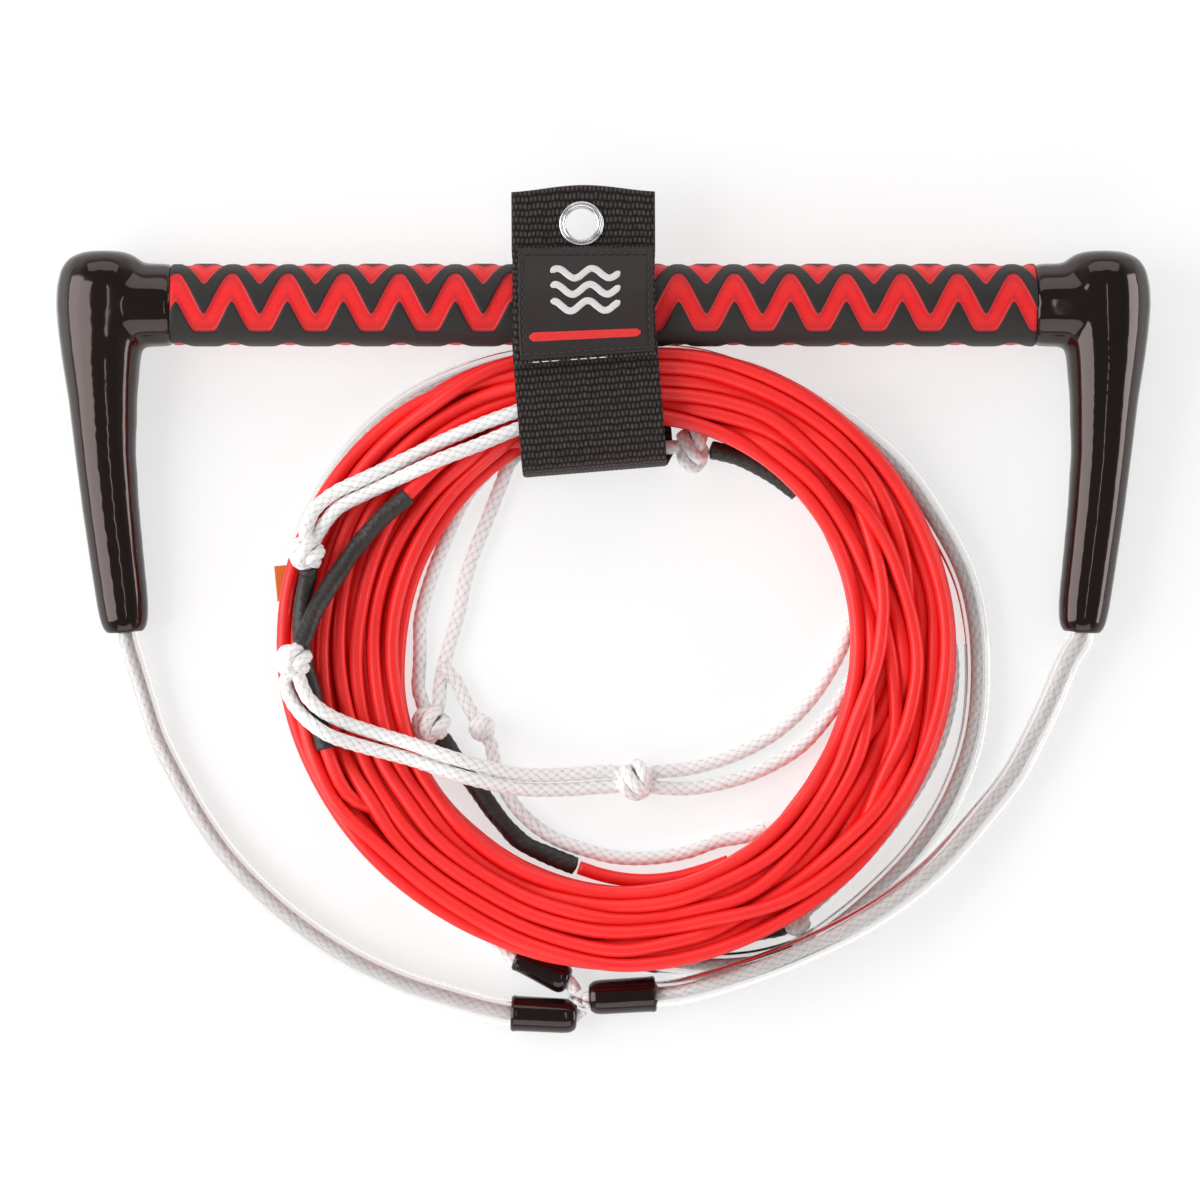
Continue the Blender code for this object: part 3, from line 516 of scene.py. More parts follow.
LOOP_1 = (
    ((-28.0, -36.5, 30.3), (-43.0, -42.0, 30.3), (-57.0, -48.0, 30.4), (-71.0, -54.8, 30.2), (-83.0, -60.5, 30.0),
     (-93.5, -65.5, 30.0), (-100.5, -71.5, 30.6), (-103.5, -78.5, 31.6)),
    ((-28.0, -36.5, 30.3), (-20.0, -32.9, 29.8), (-12.0, -28.2, 29.8), (-4.5, -22.9, 29.8), (3.0, -19.6, 29.8),
     (10.5, -22.4, 29.8), (13.6, -29.5, 29.8), (10.4, -37.2, 29.8), (2.0, -40.0, 29.8), (-8.0, -40.9, 29.8),
     (-18.0, -41.0, 29.8), (-28.0, -42.8, 30.3), (-43.0, -48.8, 30.0), (-57.0, -54.2, 29.0), (-71.0, -60.5, 27.9),
     (-83.0, -65.9, 27.0), (-91.5, -70.2, 26.7), (-96.2, -75.0, 26.8), (-99.2, -79.7, 27.2)),
)
SLEEVE_1 = (
    (-102.5, -94.2, 26.9), (-104.5, -103.0, 26.8), (-105.0, -113.5, 26.8), (-104.0, -124.0, 26.8),
    (-101.5, -134.0, 26.8), (-99.0, -144.5, 27.0), (-96.5, -155.0, 27.6),
)
SLEEVE_2 = (
    (-104.0, -116.2, 33.8), (-100.0, -106.5, 33.6), (-94.5, -97.0, 32.2), (-87.5, -86.5, 29.6),
    (-78.0, -75.2, 29.2), (-67.5, -66.2, 30.6),
)
LOOP_2 = (
    ((-105.0, -131.2, 34.0), (-102.6, -136.5, 34.0), (-97.5, -141.3, 33.6), (-90.0, -145.3, 31.6),
     (-79.5, -149.0, 29.6), (-67.5, -152.6, 29.6), (-55.5, -156.6, 27.4), (-43.0, -160.4, 21.5),
     (-29.0, -163.6, 13.5), (-15.0, -164.0, 7.0), (-3.0, -163.2, 4.3), (4.0, -162.9, 4.3)),
    ((-110.8, -131.2, 34.0), (-108.6, -137.4, 33.6), (-103.6, -143.7, 33.4), (-96.0, -149.3, 33.3),
     (-88.0, -152.4, 31.0), (-78.0, -155.3, 29.2), (-67.0, -158.2, 29.6), (-55.5, -162.0, 27.4),
     (-43.0, -165.8, 21.5), (-29.0, -168.8, 13.5), (-15.0, -169.3, 7.0), (-3.0, -168.6, 4.3), (4.0, -168.2, 4.3)),
)
LOOP_3 = (
    ((18.8, -163.0, 4.3), (30.0, -162.0, 2.8), (44.0, -158.0, 2.8), (56.5, -152.0, 2.8), (66.5, -144.5, 2.8),
     (74.5, -135.5, 2.8), (80.5, -126.0, 2.8), (83.7, -119.5, 2.8), (86.4, -112.5, 2.8),
     (89.8, -104.5, 2.8), (94.0, -97.5, 2.8)),
    ((18.8, -168.7, 4.3), (30.0, -169.0, 2.8), (44.0, -166.5, 2.8), (56.5, -162.0, 2.8), (69.0, -154.5, 2.8),
     (78.5, -144.0, 2.8), (85.2, -133.5, 2.8), (89.2, -126.0, 2.8), (92.2, -119.5, 2.8),
     (95.8, -112.5, 2.8), (99.5, -106.5, 2.8)),
)
LOOP_4 = (
    ((-57.6, -139.2, 4.6), (-57.4, -133.5, 3.0), (-56.2, -126.5, 2.8), (-53.5, -117.0, 2.8), (-50.5, -106.5, 2.8),
     (-48.5, -96.0, 2.8), (-45.5, -86.5, 2.8), (-41.5, -76.5, 2.8), (-38.2, -68.0, 3.0), (-35.4, -61.0, 3.6),
     (-32.8, -54.4, 4.6), (-27.6, -50.6, 5.0), (-20.5, -50.2, 5.0), (-10.0, -50.4, 4.9), (2.5, -49.6, 4.9),
     (14.0, -49.2, 5.0), (22.4, -49.2, 5.3)),
    ((-63.4, -139.2, 4.6), (-65.0, -133.5, 3.0), (-64.6, -126.5, 2.8), (-64.4, -118.5, 2.8), (-64.3, -110.0, 2.8),
     (-62.0, -100.0, 2.8), (-58.5, -89.5, 2.8), (-54.5, -79.5, 2.8), (-51.0, -71.5, 2.8), (-46.5, -64.0, 2.8),
     (-40.5, -57.5, 2.8)),
)
SLEEVE_4 = (
    (-55.4, -153.2, 4.6), (-50.5, -160.5, 3.6), (-43.5, -170.0, 3.6), (-37.0, -179.0, 3.6), (-29.0, -187.5, 3.6),
    (-19.5, -192.3, 3.6), (-9.3, -196.4, 3.6),
)
LINE_END_4 = (
    (-8.6, -196.7, 3.6), (-1.0, -199.2, 3.2), (7.5, -200.9, 3.0), (16.0, -201.3, 3.0), (25.5, -200.3, 3.0),
    (35.0, -197.8, 3.0), (44.0, -194.6, 3.0),
)
LOOP_5 = ((-57.0, -125.4, 4.4), (-54.0, -128.6, 3.6), (-51.2, -132.0, 2.8), (-49.2, -136.5, 2.8), (-46.8, -141.3, 3.6))
LOOP_5_TAIL = (
    (-39.4, -153.3, 4.4), (-38.0, -160.5, 2.8), (-35.0, -168.5, 2.8), (-30.4, -175.8, 2.8), (-23.6, -182.4, 2.8),
    (-15.8, -187.1, 2.8), (-6.3, -190.5, 2.8), (4.0, -193.1, 2.8), (16.0, -193.4, 2.8), (29.0, -191.4, 2.8),
    (40.0, -187.5, 2.8), (49.0, -186.0, 2.8), (57.0, -183.0, 2.8),
)
SLEEVE_6 = ((40.4, -50.6, 4.0), (49.5, -53.5, 3.6), (60.0, -59.0, 3.6), (68.5, -65.5, 3.6))
LOOP_7 = (
    (72.0, -211.0, 3.4), (79.0, -205.0, 2.8), (89.5, -195.0, 2.8), (101.0, -181.5, 2.8), (111.5, -166.0, 2.8),
    (118.3, -151.5, 2.8), (121.8, -137.5, 2.8), (122.6, -127.0, 2.8), (122.0, -118.5, 2.8),
)
SLEEVE_7 = ((62.2, -217.6, 3.9), (56.5, -218.9, 3.6), (47.5, -220.6, 3.6), (39.0, -220.4, 3.6), (30.0, -218.8, 3.6))
KNOTS = {
    "loop_knot_1": ((-103.0, -86.5, 30.6), (6.6, 6.8, 5.6)),
    "loop_knot_2": ((-107.2, -123.6, 36.0), (6.8, 6.8, 5.4)),
    "loop_knot_3": ((11.4, -165.9, 5.6), (6.7, 6.2, 5.4)),
    "loop_knot_4": ((-60.3, -146.4, 5.9), (6.3, 6.8, 5.6)),
    "loop_knot_5": ((-42.6, -147.6, 4.5), (4.4, 5.3, 4.2)),
    "loop_knot_6": ((31.2, -49.2, 5.3), (8.4, 4.9, 5.0)),
    "loop_knot_7": ((67.2, -215.0, 5.3), (4.9, 4.6, 5.0)),
    "handle_line_knot": ((-13.6, -221.9, 5.4), (5.0, 5.0, 5.1)),
    "junction_knot": ((-7.2, -244.2, 5.4), (1.5, 5.2, 4.4)),
}

KNOT_REACH = 12.5
TAG_BOX = ((-114.6, -103.0, 10.1), (-106.5, -90.6, 10.6))

# angle, middle radius, half width, inner bottom, outer bottom, top, where the bottom steps up
COIL_SECTIONS = np.array((
    (0, 100.0, 18.6, 5.9, 5.9, 24.0, 0.4), (30, 100.4, 16.8, 7.6, 10.4, 25.0, 0.3),
    (60, 98.2, 15.0, 7.6, 12.0, 26.5, 0.2), (90, 94.6, 13.3, 2.4, 12.4, 27.2, 0.3),
    (120, 95.2, 18.0, 5.9, 12.0, 26.0, 0.5), (150, 96.6, 22.5, 5.9, 11.0, 23.4, 0.5),
    (180, 96.6, 22.7, 1.0, 11.0, 22.9, 0.3), (210, 95.9, 18.4, 1.0, 11.0, 24.5, 0.0),
    (240, 94.4, 15.7, 1.0, 12.0, 27.0, 0.0), (270, 95.7, 14.6, 1.0, 11.2, 27.0, -0.4),
    (300, 95.8, 15.2, 5.9, 11.2, 26.5, -0.1), (330, 97.2, 17.8, 1.0, 8.6, 24.5, 0.4),
))
TURNS = 27
STATIONS = 160
START_ANGLE = 198.0
END_ANGLE = 142.4
COIL_REACH = (62.0, 135.0)  # cords nearer to the coil's centre or farther from it can't touch the coil
FAR_BELOW, FAR_ABOVE = -500.0, 900.0
GRIP_LINE = 104.6  # how far above its centre, in the picture, the coil may reach before it meets the grip


def periodic(values, angles):
    """Catmull-Rom through twelve values spaced evenly round a circle."""
    count = len(values)
    place = np.asarray(angles) / 360 * count
    index = np.floor(place).astype(int)
    return catmull_rom(*(values[(index + k) % count] for k in (-1, 0, 1, 2)), place - index)


def coil_obstacles(paths):
    """For each station, the circles in which other cords and knots cross it."""
    step = 360 / STATIONS
    found = [[] for _ in range(STATIONS)]
    for path, radius in paths:
        for point in resample(np.array(path, float), 1.5):
            dx, dy = point[:2] - COIL_CENTRE
            rho = math.hypot(dx, dy)
            if COIL_REACH[0] <= rho <= COIL_REACH[1]:
                column = int(round((math.degrees(math.atan2(dy, dx)) - START_ANGLE) / step)) % STATIONS
                found[column].append((rho, point[2], radius))
    most = max(len(f) for f in found)
    table = np.full((STATIONS, most, 3), (0.0, FAR_BELOW, 1.0))
    for column, circles in enumerate(found):
        for k, circle in enumerate(circles):
            table[column, k] = circle
    return table


def wind_coil(under):
    """The red line's path, wound turn by turn and settled so that no turn lies in another."""
    angle = (START_ANGLE + np.arange(STATIONS) * 360 / STATIONS) % 360
    middle, half, low_in, low_out, top, step = (periodic(COIL_SECTIONS[:, k], angle) for k in range(1, 7))
    last = int(((END_ANGLE - START_ANGLE) % 360) / 360 * STATIONS)
    total = (TURNS - 1) * STATIONS + last + 1
    u, v = coil_layout(coil_slots(), total)
    column = np.arange(total) % STATIONS
    sine = np.sin(np.radians(angle))
    inner_limit, outer_limit = middle - half + LINE_R, middle + half - LINE_R
    outer_limit = np.where(sine > 0.3, np.minimum(outer_limit, GRIP_LINE / np.maximum(sine, 0.3)), outer_limit)
    low = np.where(u > step[column], low_out[column], low_in[column]) + LINE_R
    rho = inner_limit[column] + (u + 1) / 2 * (outer_limit - inner_limit)[column]
    z = low + v * (top[column] - LINE_R - low)
    place = np.stack([rho, z], axis=1)
    start = place_of((*SLEEVE_1[-1][:2], top[0] - LINE_R + 0.5))
    end = place_of((*SLEEVE_2[-1][:2], top[last] - LINE_R + 0.5))
    under_table = coil_obstacles(under)
    inner_c, outer_c, top_c = inner_limit[column], outer_limit[column], (top - LINE_R)[column]
    rounds = 320
    for k in range(rounds):
        settle = k > 0.55 * rounds
        place[1:-1] += (0.25 if settle else 0.45) * (0.5 * (place[:-2] + place[2:]) - place[1:-1])
        place[:, 1] -= 0.03
        place[:6] += 0.5 * (start - place[:6])
        place[-6:] += 0.5 * (end - place[-6:])
        for _ in range(2):
            place = pushed_apart(place, total, under_table)
        place[:, 0] += 0.5 * np.clip(inner_c - place[:, 0], 0, None)
        place[:, 0] -= 0.5 * np.clip(place[:, 0] - outer_c, 0, None)
        place[:, 1] -= 0.25 * np.clip(place[:, 1] - top_c, 0, None)
        place[:, 1] = np.maximum(place[:, 1], LINE_R + 0.1)
    radians = np.radians(angle[column])
    return np.stack([COIL_CENTRE[0] + place[:, 0] * np.cos(radians),
                     COIL_CENTRE[1] + place[:, 0] * np.sin(radians), place[:, 1]], axis=1)


def place_of(point):
    return np.array([math.hypot(*(np.array(point[:2]) - COIL_CENTRE)), point[2]])


def coil_slots():
    """Where each turn lies in the section, as (across from -1 to 1, up from 0 to 1)."""
    rows = (7, 7, 7, 6)
    slots = []
    for r, count in enumerate(rows):
        across = np.linspace(-1, 1, count) if r % 2 == 0 else np.linspace(-0.86, 0.86, count)
        row = [(a, r / (len(rows) - 1)) for a in across]
        slots += row[::-1] if r % 2 else row
    return np.array(slots)


def coil_layout(slots, total):
    """The slot that each point of the line keeps to, drifting to the next one in each turn."""
    order = np.arange(len(slots))
    for a, b in ((3, 9), (12, 17), (15, 22), (19, 25), (21, 24)):
        order[a], order[b] = order[b], order[a]
    picked = slots[order]
    picked = np.vstack([picked, picked[-1:]])
    turn = np.arange(total) / STATIONS
    index = np.floor(turn).astype(int)
    begin = rng.uniform(0.0, 0.35, len(picked))[index]
    span = rng.uniform(0.4, 0.65, len(picked))[index]
    t = smoothstep(np.clip((turn - index - begin) / span, 0, 1))
    return (picked[index] + (picked[index + 1] - picked[index]) * t[:, None]).T


def pushed_apart(place, total, under):
    """Moves turns that overlap at a station apart, and off whatever lies under them."""
    padded = np.full((TURNS * STATIONS, 2), 0.0)
    padded[:, 1] = FAR_ABOVE + 20.0 * np.arange(TURNS * STATIONS)
    padded[:total] = place
    grid = padded.reshape(TURNS, STATIONS, 2).transpose(1, 0, 2)
    apart = grid[:, :, None, :] - grid[:, None, :, :]
    distance = np.sqrt((apart ** 2).sum(-1)) + 1e-9
    distance[:, np.arange(TURNS), np.arange(TURNS)] = 1e6
    overlap = np.clip(2 * LINE_R + 0.06 - distance, 0, None)
    move = (0.32 * overlap / distance)[..., None] * apart
    grid = grid + move.sum(2)
    apart = grid[:, :, None, :] - under[:, None, :, :2]
    distance = np.sqrt((apart ** 2).sum(-1)) + 1e-9
    overlap = np.clip(under[:, None, :, 2] + LINE_R + 0.1 - distance, 0, None)
    deepest = overlap.argmax(2)[..., None]
    push = np.take_along_axis(overlap / distance, deepest, 2)
    way = np.take_along_axis(apart, deepest[..., None], 2)[:, :, 0, :]
    grid = grid + 0.8 * push * way
    return grid.transpose(1, 0, 2).reshape(-1, 2)[:total]


# ---------------------------------------------------------------- laying ropes on each other

class Pile:
    """What already lies there: points with a radius each, on which the next cord is laid."""

    def __init__(self):
        self.points = np.zeros((0, 3))
        self.radii = np.zeros(0)

    def add(self, path, radius):
        path = resample(path, 1.2) if len(path) > 1 else path
        self.points = np.vstack([self.points, path])
        self.radii = np.concatenate([self.radii, np.full(len(path), radius)])

    def rest_height(self, xy, radius):
        """How high the centre of a cord of this radius has to be at each point to lie on the pile."""
        heights = np.full(len(xy), radius + 0.1)
        for k, point in enumerate(xy):
            reach = self.radii + radius
            apart = ((self.points[:, :2] - point) ** 2).sum(1)
            near = apart < reach ** 2
            if near.any():
                heights[k] = max(heights[k], (self.points[near, 2] + np.sqrt(reach[near] ** 2 - apart[near])).max())
        return heights


def laid(route, radius, pile):
    """The route with its heights replaced: as low as the pile lets the cord lie, in an easy curve."""
    path = smooth_route(route, ROUTE_STEP)
    least = pile.rest_height(path[:, :2], radius)
    z = np.maximum(least, np.minimum(path[:, 2], least + LAID_SLACK))
    off_pile = least < radius + 0.5
    z[off_pile] = np.maximum(path[off_pile, 2], least[off_pile])
    for _ in range(40):
        z[1:-1] += 0.5 * (0.5 * (z[:-2] + z[2:]) - z[1:-1])
        z = np.maximum(z, least)
    path[:, 2] = eased(z[:, None], 4)[:, 0]
    return path


def knot(name, centre, half_sizes, spin, tilt=0.0):
    """A tight overhand knot of doubled rope: one rope wound over itself, drawn into the size of the real one."""
    t = np.linspace(0, 2 * math.pi, 160)
    radius = min(2.3, 0.48 * min(half_sizes))
    swing = 0.52 + 0.48 * np.cos(4 * t)
    shape = np.stack([swing * np.cos(3 * t), swing * np.sin(3 * t), 0.98 * np.sin(4 * t)], axis=1)
    turned = np.array((Matrix.Rotation(spin, 3, "Z") @ Matrix.Rotation(tilt, 3, "X")))
    path = resample(shape * (np.array(half_sizes) - radius) @ turned.T + np.array(centre), ROPE_STEP)[:-1]
    turn, ring = rings(path, 22)
    height, depth = braid(lay=16.0)(np.arange(len(path))[:, None] * ROPE_STEP, turn[None, :])
    points = path[:, None, :] + (radius - depth * (1 - height))[:, :, None] * ring
    return grid_object(name, points, WHITE, relief=height)


def make_coil_path():
    """The routes on the floor, and the red line wound round and over them."""
    flat = {
        "loop_rope_3a": LOOP_3[0], "loop_rope_3b": LOOP_3[1], "loop_rope_4a": LOOP_4[0],
        "loop_rope_4b": LOOP_4[1], "loop_rope_5a": LOOP_5, "loop_rope_5b": LOOP_5_TAIL, "loop_rope_7": LOOP_7,
    }
    sleeves = {"shrink_sleeve_4": SLEEVE_4, "shrink_sleeve_6": SLEEVE_6, "shrink_sleeve_7": SLEEVE_7}
    flat, sleeves = ({node: smooth_route(route, ROUTE_STEP) for node, route in routes.items()}
                     for routes in (flat, sleeves))
    line_end = smooth_route(LINE_END_4, ROUTE_STEP)
    mouth, closed_end = JUNCTION_SLEEVES["junction_sleeve_line"][:2]
    line_route = smooth_route((closed_end, mouth, *HANDLE_LINE), 3.0)
    under = [(p, ROPE_R) for p in flat.values()] + [(p, SHRINK_R) for p in sleeves.values()]
    under += [(line_end, LINE_R), (line_route[12:], TUBE_R)]
    for name in ("loop_knot_6", "loop_knot_7", "handle_line_knot"):
        centre, sizes = KNOTS[name]
        under.append((np.array(centre) + ((-2, 0, 0), (0, 0, 0), (2, 0, 0)), min(sizes)))
    return flat, sleeves, line_end, line_route, wind_coil(under)


# ---------------------------------------------------------------- the cords

def shrink_relief(along, turn):
    """A shrink sleeve shows the braid it was shrunk on, faintly, and a few lazy wrinkles."""
    height, _ = braid(strands=6)(along, turn)
    wave = 0.5 + 0.5 * np.sin(along / 3.1 + 1.5 * np.sin(along / 7.0) + 2 * turn)
    return 0.55 * height + 0.45 * wave, 0.55


def shrink_sleeve(node, path):
    path = into_knots(path, 0.35)
    obj = swept(f"{node}_skin", resample(path, 0.6), SHRINK_R, SHRINK, 28, shrink_relief, rounded=0.5)
    return finish_piece(obj, "handle", "black_shrink", node)


def rope_piece(node, path, material):
    return finish_piece(rope(f"{node}_braid", path, material), "handle", "white_rope", node)


def rope_cord(node, path, material=None):
    path = into_knots(path)
    rope_piece(node, path, material or WHITE)


def knot_piece(node, spin, tilt=0.0, lift=0.0):
    (x, y, z), sizes = KNOTS[node]
    swollen = tuple(1.12 * size for size in sizes)
    return finish_piece(knot(f"{node}_wraps", (x, y, z + lift), swollen, spin, tilt), "handle", "white_rope", node)


def clear_tube(node, path):
    """A length of clear tubing with its wall: the outside, then back along the bore."""
    path = resample(path, ROUTE_STEP)
    _, ring = rings(path, 32)
    outside = path[:, None, :] + (TUBE_R - 0.02) * ring
    bore = (path[:, None, :] + TUBE_BORE * ring)[::-1]
    obj = grid_object(f"{node}_wall", np.concatenate([outside, bore]), CLEAR, closed_u=True, caps=False)
    return finish_piece(obj, "handle", "clear_tubing", node)


def against_inner_wall(path, first, last):
    """The rope inside tubing lies against the inner side of each bend, between two distances along the path."""
    along = distances(path)
    bend = np.gradient(np.gradient(eased(path, 20), axis=0), axis=0)
    size = np.linalg.norm(bend, axis=1)[:, None] + 1e-9
    way = eased(bend / size, 10)
    inside = np.clip((along - first) / 12, 0, 1) * np.clip((last - along) / 12, 0, 1)
    return path + TUBE_SLACK * inside[:, None] * way


def make_bridles():
    for side, name in ((-1, "left"), (1, "right")):
        leg = np.array([(side * x, y, z) for x, y, z, _ in CAP_LEG])
        tip = leg[-1]
        inward = unit(leg[-5] - tip)
        mouth, closed_end = (np.array(p) for p in JUNCTION_SLEEVES[f"junction_sleeve_{name}"][:2])
        axis = unit(closed_end - mouth)
        outside = smooth_route([tuple(tip - inward * 2), *BRIDLE[name], tuple(mouth - axis)], 3.0)
        tubed = np.vstack([tip + inward * 12, tip + inward * 6, outside, mouth + axis * 8,
                           mouth + axis * SLEEVE_SOCKET])
        tube_piece = clear_tube(f"bridle_tube_{name}", tubed)
        down_leg = [(side * ROPE_HOLE_X, -5.3, BAR_Z), (side * ROPE_HOLE_X, -12.0, BAR_Z)]
        path = resample(np.vstack([down_leg, leg[7:11], tubed, closed_end + axis * 0.3]), ROUTE_STEP)
        path = against_inner_wall(eased(path, 3), IN_CAP, length_of(path) - IN_SLEEVE)
        sleeve = junction_sleeve(f"junction_sleeve_{name}")
        rope_cord(f"bridle_rope_{name}", path, material=PAINTED_BRIGHTER_WHITE)
        stopper = knot(f"stopper_knot_{name}_wraps", (side * ROPE_HOLE_X, 1.0, BAR_Z), (6, 6, 5.6), 0.6 * side)
        finish_piece(stopper, "handle", "white_rope", f"stopper_knot_{name}")


def junction_sleeve(node):
    start, end, open_radius, closed_radius = JUNCTION_SLEEVES[node]
    axis = np.array(end) - np.array(start)
    length = float(np.linalg.norm(axis))
    hole = ROPE_R + 0.35
    socket = TUBE_R + 0.3 if node != "junction_sleeve_line" else hole
    profile = [
        (closed_radius - 3.2, length), (closed_radius - 1.4, length - 0.4), (closed_radius, length - 2.6),
        (closed_radius * 0.5 + open_radius * 0.5, length * 0.5), (open_radius, 2.0), (open_radius + 0.25, 0.9),
        (open_radius - 0.35, 0.0), (socket, 0.1), (socket, SLEEVE_SOCKET + 1), (hole, SLEEVE_SOCKET + 1.6),
        (hole, length - 0.2),
    ]
    obj = turned_object(f"{node}_skin", rounded_profile(profile), VINYL, start, axis)
    return finish_piece(obj, "handle", "black_vinyl", node)


def make_handle_line(route):
    tubed = resample(route, ROUTE_STEP)
    total = length_of(tubed)
    along = np.linspace(0, total, len(tubed))
    tube_piece = clear_tube("handle_line_tube", tubed[(along > BARE_START) & (along < total - BARE_END)])
    path = against_inner_wall(tubed, BARE_START + 2, total - BARE_END - 5)
    sleeve = junction_sleeve("junction_sleeve_line")
    end_knot = knot_piece("handle_line_knot", 0.4, 0.3)
    centre = knot_piece("junction_knot", 1.2)
    rope_cord("handle_line_rope", path, material=PAINTED_BRIGHTER_WHITE)


def make_flat_loops(flat, sleeves, line_end):
    """The loops and sleeves inside and under the coil."""
    skins = {name: shrink_sleeve(name, path) for name, path in sleeves.items()}
    knots = {3: knot_piece("loop_knot_3", 1.45, 1.2), 4: knot_piece("loop_knot_4", 0.25, 1.1),
             5: knot_piece("loop_knot_5", 0.5, 1.3, 0.4), 6: knot_piece("loop_knot_6", 1.6, 1.2),
             7: knot_piece("loop_knot_7", 0.7, 1.2)}
    stub = rope_piece("loop_rope_5a", into_knots(flat.pop("loop_rope_5a")), WHITE)
    for node, path in flat.items():
        rope_cord(node, path)
    line = swept("red_line_end_rope", resample(line_end, 1.5), LINE_R, RED, around=20)
    finish_piece(line, "handle", "red_line", "red_line_end")


def make_top_loops(coil):
    """What lies on the coil: two section ends with their sleeves, and the loops, each on what is under it."""
    pile = Pile()
    pile.add(coil[12:-12], LINE_R)  # all but the ends, which rise into the sleeves
    sleeve_1 = laid(SLEEVE_1, SHRINK_R, pile)
    pile.add(sleeve_1, SHRINK_R - 0.2)
    sleeve_2 = laid(SLEEVE_2, SHRINK_R, pile)
    pile.add(sleeve_2, SHRINK_R - 0.2)
    coil = eased(np.vstack([sleeve_1[-5:-1], coil[2:-2], sleeve_2[::-1][1:5]]), 3)
    pile.add(coil[:20], LINE_R)
    pile.add(coil[-20:], LINE_R)
    loops = {}
    for node, route in (("loop_rope_2a", LOOP_2[0]), ("loop_rope_2b", LOOP_2[1]), ("loop_rope_1b", LOOP_1[1]),
                        ("loop_rope_1a", LOOP_1[0])):
        loops[node] = laid(route, ROPE_R, pile)
        skip = int(BIGHT_1 / ROUTE_STEP) if node == "loop_rope_1b" else 0
        pile.add(loops[node][skip:], ROPE_R)
    return coil, sleeve_1, sleeve_2, loops


def into_knots(path, pull=0.5):
    """The path run on at each end into the knot it meets."""
    points = [path]
    for end, at in ((path[0], 0), (path[-1], 2)):
        gaps = [np.array(centre) - end for centre, _ in KNOTS.values()]
        near = [gap for gap in gaps if np.linalg.norm(gap[:2]) < KNOT_REACH]
        if near:
            points.insert(at, end + near[0] * (pull, pull, 0.35 * pull))
    return np.vstack(points)


def knot_between(node, paths, spin, tilt):
    """A knot at its place in the plan, as high as the cords that meet in it."""
    centre, sizes = KNOTS[node]
    nearest = [np.linalg.norm(path[:, :2] - np.array(centre[:2]), axis=1).argmin() for path in paths]
    height = float(np.mean([path[k, 2] for path, k in zip(paths, nearest)])) + 1.0
    wraps = knot(f"{node}_wraps", (*centre[:2], height), sizes, spin, tilt)
    return finish_piece(wraps, "handle", "white_rope", node)


def make_tag():
    low, high = (np.array(v) for v in TAG_BOX)
    width, length = (high - low)[:2]
    across, along = np.linspace(-0.5, 0.5, 24), np.linspace(-0.5, 0.5, 40)[:, None]
    turn = np.array(Matrix.Rotation(math.radians(5), 3, "Z"))
    curl = 0.5 * np.sin(3 * along)
    sides = [np.stack(np.broadcast_arrays(across[::side] * width, along * length, curl + side * 0.2), axis=2)
             for side in (1, -1)]
    points = np.concatenate(sides, axis=1) @ turn.T + (low + high) / 2
    return finish_piece(grid_object("line_tag_cloth", points, TAG_CLOTH), "handle", "orange_tag", "line_tag")


# ---------------------------------------------------------------- the grip and its end caps

# Edges of the red zigzags round the grip, in degrees from the top: lower edge at peak and valley, upper edge
ZIGZAGS = (
    (2.5, -41.8, 47.0, -15.5), (80.0, 26.4, 122.0, 69.0), (140.0, 92.0, 182.0, 132.0),
    (200.0, 152.0, 242.0, 192.0), (254.0, 207.0, 291.0, 250.0),
)
WAVE = 19.35  # from one peak of a zigzag to the next
PEAK_X = -128.8
CORNER = 0.965  # 1 would make the zigzags' corners sharp
GRIP_HALF = 150.5
GRIP_R, CORE_R, BORE_R = 14.45, 13.75, 11.3
SLANT = 0.56  # a distance across a slanted edge, for the same distance round the grip


def soft_clip(value, ease):
    """The value where it is positive and 0 elsewhere, with a rounded corner."""
    return 0.5 * (value + np.sqrt(value ** 2 + ease ** 2)) - 0.25 * ease


def make_grip():
    x = np.linspace(-GRIP_HALF, GRIP_HALF, 520)
    degrees = np.linspace(-90, 270, 184, endpoint=False)
    q = 0.5 - np.arcsin(CORNER * np.cos(2 * math.pi * (x - PEAK_X) / WAVE)) / (2 * math.asin(CORNER))
    inside = np.full((len(x), len(degrees)), -9.0)
    flat_foot = 1 - soft_clip(1 - q / 0.62, 0.10)
    dome = soft_clip((q - 0.10) / 0.90, 0.09)
    for number, (low_peak, low_valley, high_peak, high_valley) in enumerate(ZIGZAGS):
        low = low_peak + (low_valley - low_peak) * (flat_foot if number == 0 else dome)
        high = high_peak + (high_valley - high_peak) * dome
        for around in (0, -360, 360):
            gap = np.minimum(degrees[None, :] + around - low[:, None], high[:, None] - degrees[None, :] - around)
            inside = np.maximum(inside, gap * math.radians(1) * GRIP_R * SLANT)
    step = smoothstep(np.clip((inside + 0.25) / 0.9, 0, 1))
    radius = GRIP_R - (GRIP_R - CORE_R) * step
    end = np.clip((GRIP_HALF - np.abs(x)) / 1.2, 0, 1)
    radius *= (1 - 0.05 * (1 - np.sqrt(1 - (1 - end) ** 2)))[:, None]
    turn = np.radians(degrees)
    points = np.stack([np.broadcast_to(x[:, None], radius.shape), radius * np.sin(turn)[None, :],
                       BAR_Z + radius * np.cos(turn)[None, :]], axis=2)
    bore = (points[[-1, 0]] - (0, 0, BAR_Z)) * (1, BORE_R / GRIP_R, BORE_R / GRIP_R) + (0, 0, BAR_Z)
    edge = np.concatenate([inside, np.full((2, len(degrees)), -1.0)])
    obj = grid_object("foam_grip", np.concatenate([points, bore]), FOAM, closed_u=True, caps=False, edge=edge)
    finish_piece(obj, "handle", "black_foam", "grip_core", "grip_cover")


